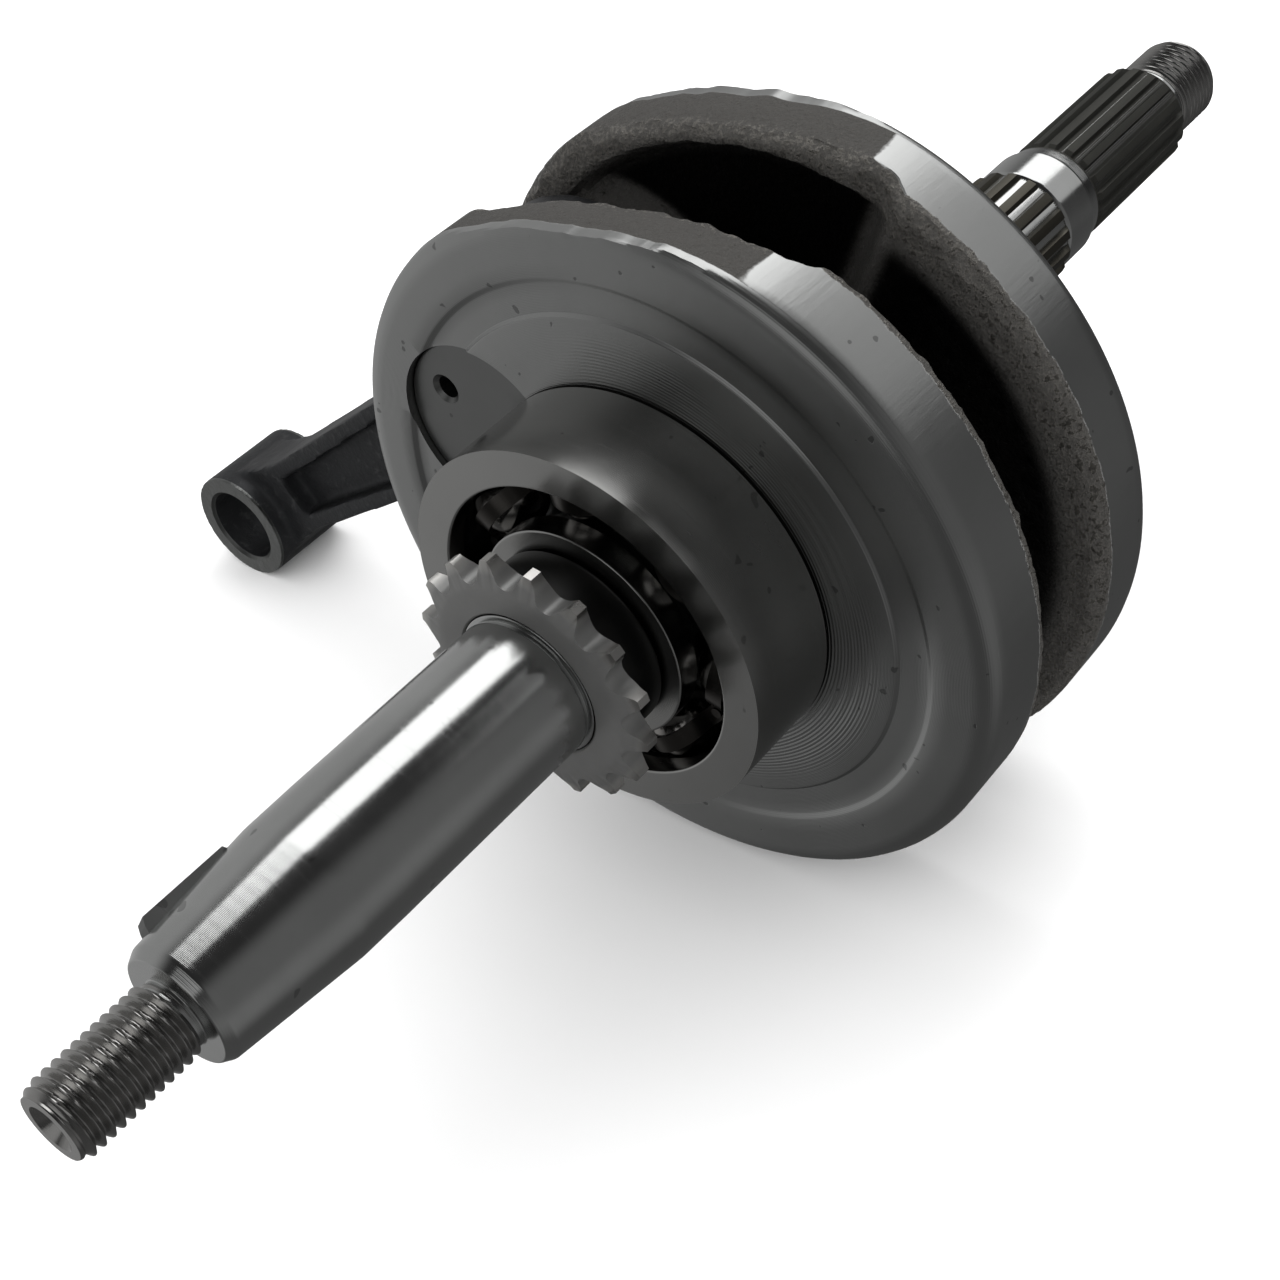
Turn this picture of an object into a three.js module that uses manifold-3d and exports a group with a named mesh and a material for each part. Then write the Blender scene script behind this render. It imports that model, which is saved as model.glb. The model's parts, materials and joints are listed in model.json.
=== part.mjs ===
// Built-up crankshaft of a single-cylinder four-stroke engine: two forged flywheels pressed on a hollow
// crank pin, with the connecting rod, the big-end needle bearing, one main ball bearing and the timing
// sprocket. Millimetres, +Z up. +X runs along the shaft from the tapered end to the splined end, and the
// origin is on the shaft's axis, in the middle plane of the connecting rod.
import * as THREE from "three";
import { mergeVertices } from "three/addons/utils/BufferGeometryUtils.js";
import Module from "manifold-3d";

const wasm = await Module();
wasm.setup();

// Driving dimensions
const WEB_R = 57.4; // flywheel rim
const CRANK_R = 34; // half the stroke
const CRANK_ANGLE = 24.4; // degrees, crank pin above the horizontal at rest
const ROD_LENGTH = 109.1; // between the centres of the rod's two bores
const FIT = 0.1; // gap left all round between pieces pressed together
const PLAY = 0.25; // gap beside pieces that turn
const BITE = 1; // how far a cutting or joining solid runs past the surface it meets
const OVERLAP = 0.5;

// Flywheels
const WEB_FACE = 22.5; // outer faces, from the rod's middle plane, left
const WEB_FACE_RIGHT = 21.7;
const WEB_INNER = 7.9; // inner faces of the counterweights
const PIN_SIDE_INNER = 15; // floor of the pocket in the thinner half, around the pin
const BOSS_FACE = 10.8;
const BOSS_R = 21;
const RIM_ROUND = 2.2;
const FORGED_DIP = 2.4; // how far the unmachined stretches of rim lie inside the turned radius
const FORGED_AT = 58; // degrees either side of the pin
const FORGED_HALF = 34;
const STEP_OUTER_R = 47.6; // turned steps in the outer faces
const STEP_INNER_R = 42;
const STEP_DEPTH = 0.5;
const HUB_R = 18;
const HUB_FACE = 22.9;
const SLOPE_TOP = 2; // where the counterweight's steep wall starts and ends, towards the pin
const SLOPE_FOOT = -4;
const LIP_INNER = 11; // the rim's inner edge on the thinner half, which stands proud of the pocket
const POCKET_EDGE_R = 52.6;

// Crank pin
const PIN_R = 15;
const PIN_LEFT = -21;
const PIN_RIGHT = 20.2;
const OIL_HOLE_R = 1.9;
const OIL_HOLE_OUT = 8.9; // from the pin's own axis
const OIL_HOLE_ANGLE = 10.6; // degrees from the crank throw
const OIL_HOLE_DEPTH = 24;
const GALLERY_R = 4;
const GALLERY_DEPTH = 20;
const PLUG_LENGTH = 4;
const PLUG_SUNK = 0.4;

// Main ball bearing, 25 x 62 x 17
const BEARING_FRONT = -40;
const BEARING_WIDTH = 17;
const BEARING_BORE_R = 12.5;
const BEARING_R = 31;
const LAND_OUTER_R = 25;
const LAND_INNER_R = 17.8;
const BALL_R = 5.7;
const BALL_CIRCLE_R = 21.75;
const BALLS = 7;
const GROOVE_R = 6.1;
const GROOVE_POINTS = 7;
const BALL_CAGE_INNER_R = 20.2;
const BALL_CAGE_OUTER_R = 23.3;
const BALL_CAGE_DEPTH = 7;
const POCKET_R = 6.05;
const RIVET_R = 0.6;
const RIVET_PROUD = 0.3;
const RING_CHAMFER = 1.2;

// Timing sprocket
const TEETH = 16;
const TIP_R = 20.5;
const ROOT_R = 16.9;
const SPROCKET_FRONT = -52;
const SPROCKET_THICK = 4;
const SPROCKET_HUB_R = 15;
const SEAT_R = 11.85;
const TOOTH_PHASE = -13.8; // degrees from the crank throw to a tooth's tip
const TOOTH_CREST = 0.1; // half the flat crest and one hollow flank, as shares of the tooth pitch
const TOOTH_FLANK = 0.28;

// Left shaft
const SHAFT_R = 11.3;
const JOURNAL_R = 12.4;
const TAPER_START = -97.2;
const TAPER_END = -118;
const TAPER_END_R = 9.3;
const TAPER_FACE = -119.6;
const TAPER_FACE_R = 8.5;
const NUT_THREAD_R = 5.9; // M12
const NUT_NECK_R = 5.1;
const NUT_NECK_LENGTH = 1.6;
const LEFT_END = -139.8;

// Woodruff key
const KEY_WIDTH = 4;
const KEY_DISC_R = 8;
const KEY_AT = -108;
const KEY_CENTRE = 7.2; // the disc's centre, from the shaft's axis
const KEY_TOP = 11.3;
const KEY_ANGLE = 11.6; // degrees from the crank throw

// Right shaft
const RIGHT_JOURNAL_END = 40.5;
const RIGHT_SHAFT_R = 11.9;
const SHORT_SPLINE_START = 58;
const SHORT_SPLINE_END = 83.8;
const SHORT_SPLINE_R = 11.1;
const PLAIN_R = 10.5;
const PLAIN_END = 92.1;
const LONG_SPLINE_START = 95;
const LONG_SPLINE_END = 129.1;
const LONG_SPLINE_R = 9.8;
const SPLINE_DEPTH = 1;
const SPLINES = 18;
const END_NECK_R = 7.2;
const END_THREAD_START = 131.5;
const END_THREAD_R = 8; // M16, fine
const RIGHT_END = 144.7;
const CHAMFER = 1;

// Connecting rod
const BIG_END_R = 24;
const BIG_END_HALF = 9;
const BIG_BORE_R = 19.1;
const SMALL_END_R = 11.1;
const SMALL_END_HALF = 9.5;
const SMALL_BORE_R = 7.5;
const BEAM_HALF = 6;
const BEAM_WIDE = 10.5; // half width beside the big end
const BEAM_NARROW = 7; // half width beside the small end
const BEAM_FLANGE = 3;
const BEAM_WEB_HALF = 2.2;
const BEAM_FROM = 10; // the beam starts inside the big end and stops inside the small end
const BEAM_INTO = 5;
const CHANNEL_START = 3; // solid beam left between each channel's ends and the rod's two ends
const CHANNEL_STOP = 5;

// Big-end bearing
const NEEDLES = 14;
const NEEDLE_R = 1.9;
const NEEDLE_CIRCLE_R = 17.05;
const NEEDLE_HALF = 6.5;
const NEEDLE_PLAY = 0.12;
const NEEDLE_CAGE_INNER_R = 16.1;
const NEEDLE_CAGE_OUTER_R = 18;
const NEEDLE_CAGE_HALF = 8.2;
const WASHER_INNER_R = 15.3;
const WASHER_OUTER_R = 20.5;
const WASHER_NEAR = 9.25;
const WASHER_FAR = 10.55;

// Facets round a full circle
const RIM_FACETS = 60;
const RING_FACETS = 48;
const SHAFT_FACETS = 32;
const PIN_FACETS = 32;
const SMALL_FACETS = 10;
const GALLERY_FACETS = 20;
const POINTS_PER_TOOTH = 8;
const POINTS_PER_SPLINE = 4;
const BALL_DETAIL = 2;

const radians = THREE.MathUtils.degToRad;

// The rims stand on a flat facet, and the rod's small end lies on the same floor.
const facetAngle = 360 / RIM_FACETS;
const rimPhase = (270 - CRANK_ANGLE + facetAngle / 2) % facetAngle;
const floorDepth = WEB_R * Math.cos(radians(facetAngle / 2));
const pinHeight = CRANK_R * Math.sin(radians(CRANK_ANGLE));
const rodAngle = -Math.asin((pinHeight + floorDepth - SMALL_END_R) / ROD_LENGTH);
const bearingMiddle = BEARING_FRONT + BEARING_WIDTH / 2;

// A closed geometry as a solid that can be cut and joined.
function solid(geometry) {
  const bare = geometry.clone();
  bare.deleteAttribute("normal");
  bare.deleteAttribute("uv");
  const merged = mergeVertices(bare, 1e-4);
  const vertProperties = new Float32Array(merged.attributes.position.array);
  const triVerts = new Uint32Array(merged.index.array);
  return new wasm.Manifold(new wasm.Mesh({ numProp: 3, vertProperties, triVerts }));
}

// A solid's surface as a geometry with flat shading.
function geometryOf(body) {
  const mesh = body.getMesh();
  const geometry = new THREE.BufferGeometry();
  geometry.setAttribute("position", new THREE.BufferAttribute(new Float32Array(mesh.vertProperties), 3));
  geometry.setIndex(new THREE.BufferAttribute(new Uint32Array(mesh.triVerts), 1));
  geometry.computeVertexNormals();
  return geometry;
}

// Twice the area that a profile goes round, positive when it runs one way and negative the other.
function sweptArea(profile) {
  return profile.reduce((sum, [x, r], i) => {
    const [nextX, nextR] = profile[(i + 1) % profile.length];
    return sum + x * nextR - nextX * r;
  }, 0);
}

// A profile of [x, radius] points turned about the X axis, run in the order that faces it outwards.
function turned(profile, facets = SHAFT_FACETS) {
  const ordered = sweptArea(profile) < 0 ? profile : [...profile].reverse();
  const points = ordered.map(([x, r]) => new THREE.Vector2(r, x));
  const geometry = new THREE.LatheGeometry(points, facets);
  geometry.rotateZ(-Math.PI / 2);
  return solid(geometry);
}

// A plain cylinder along X, and the same moved to (y, z).
function rod(x0, x1, r, facets = SHAFT_FACETS, y = 0, z = 0) {
  const geometry = new THREE.CylinderGeometry(r, r, x1 - x0, facets);
  geometry.rotateZ(-Math.PI / 2);
  geometry.translate((x0 + x1) / 2, y, z);
  return solid(geometry);
}

// A ring along X, closed on itself.
function ring(x0, x1, inner, outer, facets = SHAFT_FACETS) {
  return turned([[x0, inner], [x0, outer], [x1, outer], [x1, inner], [x0, inner]], facets);
}

// An outline of (y, z) points pushed along X from x0 to x1.
function pushed(outline, x0, x1) {
  const shape = new THREE.Shape(outline.map(([y, z]) => new THREE.Vector2(y, z)));
  const geometry = new THREE.ExtrudeGeometry(shape, { depth: x1 - x0, bevelEnabled: false });
  const along = new THREE.Matrix4().makeBasis(
    new THREE.Vector3(0, 1, 0),
    new THREE.Vector3(0, 0, 1),
    new THREE.Vector3(1, 0, 0),
  );
  geometry.applyMatrix4(along);
  geometry.translate(x0, 0, 0);
  return solid(geometry);
}

function block(x0, x1, y0, y1, z0, z1) {
  const geometry = new THREE.BoxGeometry(x1 - x0, y1 - y0, z1 - z0);
  geometry.translate((x0 + x1) / 2, (y0 + y1) / 2, (z0 + z1) / 2);
  return solid(geometry);
}

// A round outline whose radius follows a rule of the angle in degrees.
function roundOutline(count, radiusAt, phase = 0) {
  return Array.from({ length: count }, (_, i) => {
    const angle = phase + (i * 360) / count;
    const r = radiusAt(angle);
    return [r * Math.cos(radians(angle)), r * Math.sin(radians(angle))];
  });
}

// The forged outline: a full circle that dips a little on both sides of the pin.
function webRadius(angle) {
  const fromPin = angle > 180 ? 360 - angle : angle;
  const across = Math.abs(fromPin - FORGED_AT) / FORGED_HALF;
  return across < 1 ? WEB_R - (FORGED_DIP * (1 + Math.cos(Math.PI * across))) / 2 : WEB_R;
}

// One flywheel's disc, with side -1 for the left and +1 for the right. The throw is along +Y.
function web(side, outerFace) {
  const ends = (a, b) => (side < 0 ? [-b, -a] : [a, b]);
  const blank = pushed(roundOutline(RIM_FACETS, webRadius, rimPhase), ...ends(WEB_INNER, outerFace));
  const rounding = turned(
    [
      [0, 0],
      [0, WEB_R + BITE],
      [side * (outerFace - RIM_ROUND - BITE), WEB_R + BITE],
      [side * (outerFace - RIM_ROUND * 0.3), WEB_R - RIM_ROUND * 0.3],
      [side * outerFace, WEB_R - RIM_ROUND],
      [side * outerFace, 0],
    ],
    RIM_FACETS,
  );
  const pocket = relief(PIN_SIDE_INNER, side).intersect(rod(-WEB_FACE, WEB_FACE, POCKET_EDGE_R, RIM_FACETS));
  const [b0, b1] = ends(BOSS_FACE, PIN_SIDE_INNER + BITE);
  const boss = rod(b0, b1, BOSS_R, PIN_FACETS, CRANK_R);
  const [s0, s1] = ends(outerFace - STEP_DEPTH, outerFace + BITE);
  const step = ring(s0, s1, STEP_INNER_R, STEP_OUTER_R, RING_FACETS);
  const disc = blank.intersect(aboutX(rounding, rimPhase));
  const hollowed = disc.subtract(relief(LIP_INNER, side)).subtract(pocket);
  return hollowed.add(boss).subtract(step).subtract(pinHole(side));
}

// The space cleared down to a depth beside the counterweight's steep wall, right across the disc.
function relief(depth, side) {
  const climb = (depth - WEB_INNER) / (PIN_SIDE_INNER - WEB_INNER);
  const wallTop = SLOPE_FOOT + (SLOPE_TOP - SLOPE_FOOT) * climb;
  const outline = [
    [SLOPE_FOOT, WEB_INNER - BITE],
    [SLOPE_FOOT, WEB_INNER],
    [wallTop, depth],
    [WEB_R + BITE, depth],
    [WEB_R + BITE, WEB_INNER - BITE],
  ];
  const shape = new THREE.Shape(outline.map(([y, x]) => new THREE.Vector2(side * x, y)));
  const geometry = new THREE.ExtrudeGeometry(shape, { depth: 4 * WEB_R, bevelEnabled: false });
  geometry.translate(0, 0, -2 * WEB_R);
  return solid(geometry);
}

function pinHole(side) {
  const [h0, h1] = side < 0 ? [-HUB_FACE - BITE, 0] : [0, HUB_FACE + BITE];
  return rod(h0, h1, PIN_R + FIT, PIN_FACETS, CRANK_R);
}

// Splines cut along a stretch of shaft.
function splined(x0, x1, r) {
  const steps = SPLINES * POINTS_PER_SPLINE;
  const outline = Array.from({ length: steps }, (_, i) => {
    const angle = (i * 2 * Math.PI) / steps;
    const onCrest = i % POINTS_PER_SPLINE < POINTS_PER_SPLINE / 2;
    const radius = onCrest ? r : r - SPLINE_DEPTH;
    return [radius * Math.cos(angle), radius * Math.sin(angle)];
  });
  return pushed(outline, x0, x1);
}

function woodruffDisc(halfWidth, discR) {
  const geometry = new THREE.CylinderGeometry(discR, discR, 2 * halfWidth, PIN_FACETS);
  geometry.rotateX(Math.PI / 2);
  geometry.translate(KEY_AT, KEY_CENTRE, 0);
  return solid(geometry);
}

function aboutX(body, degrees) {
  return body.rotate([degrees, 0, 0]);
}

function leftFlywheel() {
  const shaft = turned([
    [LEFT_END, 0],
    [LEFT_END, NUT_THREAD_R - CHAMFER],
    [LEFT_END + CHAMFER, NUT_THREAD_R],
    [TAPER_FACE - NUT_NECK_LENGTH, NUT_THREAD_R],
    [TAPER_FACE - NUT_NECK_LENGTH, NUT_NECK_R],
    [TAPER_FACE, NUT_NECK_R],
    [TAPER_FACE, TAPER_FACE_R],
    [TAPER_END, TAPER_END_R],
    [TAPER_START, SHAFT_R],
    [SPROCKET_FRONT, SHAFT_R],
    [SPROCKET_FRONT, SEAT_R],
    [BEARING_FRONT, SEAT_R],
    [BEARING_FRONT, JOURNAL_R],
    [-HUB_FACE, JOURNAL_R],
    [-HUB_FACE, HUB_R],
    [-PIN_SIDE_INNER - BITE, HUB_R],
    [-PIN_SIDE_INNER - BITE, 0],
  ]);
  const seat = aboutX(woodruffDisc(KEY_WIDTH / 2 + FIT, KEY_DISC_R + FIT), KEY_ANGLE);
  return web(-1, WEB_FACE).add(shaft).subtract(seat).subtract(pinHole(-1));
}

function rightFlywheel() {
  const shaft = turned([
    [PIN_SIDE_INNER + BITE, 0],
    [PIN_SIDE_INNER + BITE, HUB_R],
    [HUB_FACE, HUB_R],
    [HUB_FACE, JOURNAL_R],
    [RIGHT_JOURNAL_END, JOURNAL_R],
    [RIGHT_JOURNAL_END, RIGHT_SHAFT_R],
    [SHORT_SPLINE_START, RIGHT_SHAFT_R],
    [SHORT_SPLINE_START, SHORT_SPLINE_R - SPLINE_DEPTH],
    [SHORT_SPLINE_END, SHORT_SPLINE_R - SPLINE_DEPTH],
    [SHORT_SPLINE_END, PLAIN_R],
    [PLAIN_END, PLAIN_R],
    [LONG_SPLINE_START, LONG_SPLINE_R],
    [LONG_SPLINE_START, LONG_SPLINE_R - SPLINE_DEPTH],
    [LONG_SPLINE_END, LONG_SPLINE_R - SPLINE_DEPTH],
    [LONG_SPLINE_END, END_NECK_R],
    [END_THREAD_START, END_NECK_R],
    [END_THREAD_START, END_THREAD_R],
    [RIGHT_END - CHAMFER, END_THREAD_R],
    [RIGHT_END, END_THREAD_R - CHAMFER],
    [RIGHT_END, 0],
  ]);
  const short = splined(SHORT_SPLINE_START - OVERLAP, SHORT_SPLINE_END + OVERLAP, SHORT_SPLINE_R);
  const long = splined(LONG_SPLINE_START - OVERLAP, LONG_SPLINE_END, LONG_SPLINE_R);
  return web(1, WEB_FACE_RIGHT).add(shaft).add(short).add(long).subtract(pinHole(1));
}

function crankPin() {
  const body = rod(PIN_LEFT, PIN_RIGHT, PIN_R, PIN_FACETS, CRANK_R);
  const y = CRANK_R + OIL_HOLE_OUT * Math.cos(radians(OIL_HOLE_ANGLE));
  const z = OIL_HOLE_OUT * Math.sin(radians(OIL_HOLE_ANGLE));
  const oilHole = rod(PIN_LEFT - BITE, PIN_LEFT + OIL_HOLE_DEPTH, OIL_HOLE_R, SMALL_FACETS, y, z);
  const gallery = rod(PIN_RIGHT - GALLERY_DEPTH, PIN_RIGHT + BITE, GALLERY_R, GALLERY_FACETS, CRANK_R);
  return body.subtract(oilHole).subtract(gallery);
}

function galleryPlug() {
  return rod(PIN_RIGHT - PLUG_LENGTH, PIN_RIGHT - PLUG_SUNK, GALLERY_R - FIT, GALLERY_FACETS, CRANK_R);
}

function woodruffKey() {
  const trim = block(LEFT_END, 0, 0, KEY_TOP, -KEY_WIDTH, KEY_WIDTH);
  return aboutX(woodruffDisc(KEY_WIDTH / 2, KEY_DISC_R).intersect(trim), KEY_ANGLE);
}

// One tooth is a narrow crest with hollow flanks down to a round root.
function toothRadius(angle) {
  const pitches = ((angle - TOOTH_PHASE) * TEETH) / 360;
  const fromTip = Math.abs(pitches - Math.round(pitches));
  const share = THREE.MathUtils.clamp((fromTip - TOOTH_CREST) / TOOTH_FLANK, 0, 1);
  return TIP_R - (TIP_R - ROOT_R) * Math.sin((share * Math.PI) / 2);
}

function timingSprocket() {
  const teeth = pushed(
    roundOutline(TEETH * POINTS_PER_TOOTH, toothRadius, TOOTH_PHASE),
    SPROCKET_FRONT,
    SPROCKET_FRONT + SPROCKET_THICK,
  );
  const hub = rod(SPROCKET_FRONT + BITE, BEARING_FRONT - PLAY, SPROCKET_HUB_R);
  const bore = rod(SPROCKET_FRONT - BITE, BEARING_FRONT + BITE, SEAT_R + FIT);
  return teeth.add(hub).subtract(bore);
}

// A race's profile with its ball groove: from the plain side at radius `plain` to the land at `land`.
function raceProfile(plain, land) {
  const x0 = BEARING_FRONT + FIT;
  const x1 = BEARING_FRONT + BEARING_WIDTH - FIT;
  const outwards = land < plain ? 1 : -1;
  const half = Math.acos(Math.abs(land - BALL_CIRCLE_R) / GROOVE_R);
  const groove = Array.from({ length: GROOVE_POINTS }, (_, i) => {
    const angle = -half + (2 * i * half) / (GROOVE_POINTS - 1);
    const r = BALL_CIRCLE_R + outwards * GROOVE_R * Math.cos(angle);
    return [bearingMiddle + GROOVE_R * Math.sin(angle), r];
  });
  return [[x0, plain], [x0, land], ...groove, [x1, land], [x1, plain], [x0, plain]];
}

function bearingRing(plain, land, edge) {
  const body = turned(raceProfile(plain, land), RING_FACETS);
  return edge ? body.intersect(chamferedBlank(plain, edge)) : body;
}

function chamferedBlank(r, edge) {
  const x0 = BEARING_FRONT;
  const x1 = BEARING_FRONT + BEARING_WIDTH;
  const profile = [[x0, 0], [x0, r - edge], [x0 + edge, r], [x1 - edge, r], [x1, r - edge], [x1, 0]];
  return turned(profile, RING_FACETS);
}

function ballAngle(i) {
  return (i * 360) / BALLS + 90 / BALLS;
}

function onCircle(geometry, r, angle) {
  geometry.translate(bearingMiddle, r * Math.cos(radians(angle)), r * Math.sin(radians(angle)));
  return geometry;
}

function ball(i) {
  return solid(onCircle(new THREE.IcosahedronGeometry(BALL_R, BALL_DETAIL), BALL_CIRCLE_R, ballAngle(i)));
}

function rivetPlace(i) {
  const angle = radians(ballAngle(i + 0.5));
  return [BALL_CIRCLE_R * Math.cos(angle), BALL_CIRCLE_R * Math.sin(angle)];
}

// Half of the stamped ball cage: side -1 faces the sprocket, +1 faces the flywheel.
function ballCageHalf(side) {
  const near = bearingMiddle + side * FIT;
  const far = bearingMiddle + side * BALL_CAGE_DEPTH;
  const [x0, x1] = side < 0 ? [far, near] : [near, far];
  let half = ring(x0, x1, BALL_CAGE_INNER_R, BALL_CAGE_OUTER_R, BALLS * 6);
  for (let i = 0; i < BALLS; i++) {
    const bubble = new THREE.IcosahedronGeometry(POCKET_R, BALL_DETAIL);
    half = half.subtract(solid(onCircle(bubble, BALL_CIRCLE_R, ballAngle(i))));
    half = half.subtract(rod(x0 - BITE, x1 + BITE, RIVET_R + FIT, SMALL_FACETS, ...rivetPlace(i)));
  }
  return half;
}

function cageRivet(i) {
  const reach = BALL_CAGE_DEPTH + RIVET_PROUD;
  return rod(bearingMiddle - reach, bearingMiddle + reach, RIVET_R, SMALL_FACETS, ...rivetPlace(i));
}

// The rod lies along +Y, with its big end's centre at the origin.
function rodBeam(x0, x1, inset) {
  const from = inset ? BIG_END_R + CHANNEL_START : BEAM_FROM;
  const to = inset ? ROD_LENGTH - SMALL_END_R - CHANNEL_STOP : ROD_LENGTH - BEAM_INTO;
  const wide = BEAM_WIDE - inset;
  const narrow = BEAM_NARROW - inset;
  return pushed([[from, -wide], [to, -narrow], [to, narrow], [from, wide]], x0, x1);
}

function connectingRod() {
  const bigEnd = rod(-BIG_END_HALF, BIG_END_HALF, BIG_END_R, RING_FACETS);
  const smallEnd = rod(-SMALL_END_HALF, SMALL_END_HALF, SMALL_END_R, SHAFT_FACETS, ROD_LENGTH);
  const beam = rodBeam(-BEAM_HALF, BEAM_HALF, 0);
  const channels = [
    rodBeam(BEAM_WEB_HALF, BEAM_HALF + BITE, BEAM_FLANGE),
    rodBeam(-BEAM_HALF - BITE, -BEAM_WEB_HALF, BEAM_FLANGE),
  ];
  const bigBore = rod(-2 * BIG_END_HALF, 2 * BIG_END_HALF, BIG_BORE_R, RING_FACETS);
  const smallBore = rod(-2 * BIG_END_HALF, 2 * BIG_END_HALF, SMALL_BORE_R, SHAFT_FACETS, ROD_LENGTH);
  const blank = bigEnd.add(beam).add(smallEnd).subtract(channels[0]).subtract(channels[1]);
  return blank.subtract(bigBore).subtract(smallBore);
}

function needlePlace(i) {
  const angle = radians((i * 360) / NEEDLES);
  return [NEEDLE_CIRCLE_R * Math.cos(angle), NEEDLE_CIRCLE_R * Math.sin(angle)];
}

function needle(i) {
  return rod(-NEEDLE_HALF, NEEDLE_HALF, NEEDLE_R, SMALL_FACETS, ...needlePlace(i));
}

function needleCage() {
  let cage = ring(
    -NEEDLE_CAGE_HALF,
    NEEDLE_CAGE_HALF,
    NEEDLE_CAGE_INNER_R,
    NEEDLE_CAGE_OUTER_R,
    NEEDLES * 4,
  );
  const reach = NEEDLE_HALF + NEEDLE_PLAY;
  for (let i = 0; i < NEEDLES; i++) {
    cage = cage.subtract(rod(-reach, reach, NEEDLE_R + NEEDLE_PLAY, SMALL_FACETS, ...needlePlace(i)));
  }
  return cage;
}

function thrustWasher(side) {
  const [x0, x1] = side < 0 ? [-WASHER_FAR, -WASHER_NEAR] : [WASHER_NEAR, WASHER_FAR];
  return ring(x0, x1, WASHER_INNER_R, WASHER_OUTER_R, PIN_FACETS);
}

// Finishes
const FINISH = {
  machined: { color: 0x8c8f92, roughness: 0.35, metalness: 1 },
  ground: { color: 0xb4b6b8, roughness: 0.18, metalness: 1 },
  forged: { color: 0x3a3937, roughness: 0.7, metalness: 0.8 },
  sprocket: { color: 0x6f7173, roughness: 0.4, metalness: 1 },
  cage: { color: 0xa0988a, roughness: 0.35, metalness: 1 },
};

function place(group, name, body, finish) {
  const mesh = new THREE.Mesh(geometryOf(body), new THREE.MeshStandardMaterial(FINISH[finish]));
  mesh.name = name;
  group.add(mesh);
}

const crankshaft = new THREE.Group();

const crank = new THREE.Group();
crank.rotation.x = radians(CRANK_ANGLE);
crankshaft.add(crank);
place(crank, "left_flywheel", leftFlywheel(), "machined");
place(crank, "right_flywheel", rightFlywheel(), "machined");
place(crank, "crank_pin", crankPin(), "ground");
place(crank, "pin_gallery_plug", galleryPlug(), "ground");
place(crank, "woodruff_key", woodruffKey(), "machined");
place(crank, "timing_sprocket", timingSprocket(), "sprocket");
place(crank, "bearing_inner_ring", bearingRing(BEARING_BORE_R, LAND_INNER_R, 0), "ground");
place(crank, "bearing_outer_ring", bearingRing(BEARING_R, LAND_OUTER_R, RING_CHAMFER), "ground");
place(crank, "ball_cage_front", ballCageHalf(-1), "cage");
place(crank, "ball_cage_back", ballCageHalf(1), "cage");
for (let i = 0; i < BALLS; i++) {
  place(crank, `bearing_ball_${i + 1}`, ball(i), "ground");
  place(crank, `cage_rivet_${i + 1}`, cageRivet(i), "cage");
}

const bigEnd = new THREE.Group();
bigEnd.position.y = CRANK_R * Math.cos(radians(CRANK_ANGLE));
bigEnd.position.z = pinHeight;
bigEnd.rotation.x = rodAngle;
crankshaft.add(bigEnd);
place(bigEnd, "connecting_rod", connectingRod(), "forged");
place(bigEnd, "needle_cage", needleCage(), "cage");
place(bigEnd, "thrust_washer_left", thrustWasher(-1), "ground");
place(bigEnd, "thrust_washer_right", thrustWasher(1), "ground");
for (let i = 0; i < NEEDLES; i++) {
  place(bigEnd, `needle_roller_${i + 1}`, needle(i), "ground");
}

export default crankshaft;
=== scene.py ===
"""Finished looks for a built-up crankshaft: flywheels, shafts, rod, main bearing and timing sprocket."""

import json
import math

import bmesh
import bpy
import numpy as np
from bpy.props import FloatProperty, FloatVectorProperty, IntProperty, PointerProperty
from mathutils import Matrix, Vector, noise


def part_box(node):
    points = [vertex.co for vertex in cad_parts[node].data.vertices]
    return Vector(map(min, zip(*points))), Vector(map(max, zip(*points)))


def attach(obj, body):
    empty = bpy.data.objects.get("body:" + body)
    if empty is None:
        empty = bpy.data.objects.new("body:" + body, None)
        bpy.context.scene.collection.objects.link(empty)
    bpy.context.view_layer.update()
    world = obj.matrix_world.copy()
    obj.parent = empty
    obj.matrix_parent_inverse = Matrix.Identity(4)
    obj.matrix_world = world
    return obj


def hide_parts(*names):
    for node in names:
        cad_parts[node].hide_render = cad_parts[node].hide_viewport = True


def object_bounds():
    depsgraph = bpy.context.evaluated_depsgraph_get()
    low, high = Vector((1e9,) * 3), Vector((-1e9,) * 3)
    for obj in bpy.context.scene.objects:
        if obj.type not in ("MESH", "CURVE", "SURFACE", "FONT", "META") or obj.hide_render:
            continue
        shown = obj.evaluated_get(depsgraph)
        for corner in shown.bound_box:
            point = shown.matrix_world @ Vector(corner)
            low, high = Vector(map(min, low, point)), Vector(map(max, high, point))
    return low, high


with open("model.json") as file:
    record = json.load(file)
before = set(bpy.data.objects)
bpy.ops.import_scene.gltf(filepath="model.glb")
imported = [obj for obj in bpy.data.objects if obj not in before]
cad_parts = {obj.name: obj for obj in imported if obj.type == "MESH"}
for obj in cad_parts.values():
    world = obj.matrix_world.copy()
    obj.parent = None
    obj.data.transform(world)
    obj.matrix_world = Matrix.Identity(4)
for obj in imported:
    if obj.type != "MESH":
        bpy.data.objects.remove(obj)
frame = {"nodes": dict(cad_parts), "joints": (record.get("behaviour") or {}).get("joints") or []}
CAD_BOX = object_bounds()

bl_info = {
    "name": "Crankshaft",
    "version": (1, 0, 0),
    "blender": (4, 5, 0),
    "location": "3D View > Sidebar > Crankshaft",
    "description": "Builds the finished pieces of a built-up crankshaft",
    "category": "Add Mesh",
}

MM = 0.001
TURN = 2 * math.pi

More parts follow.
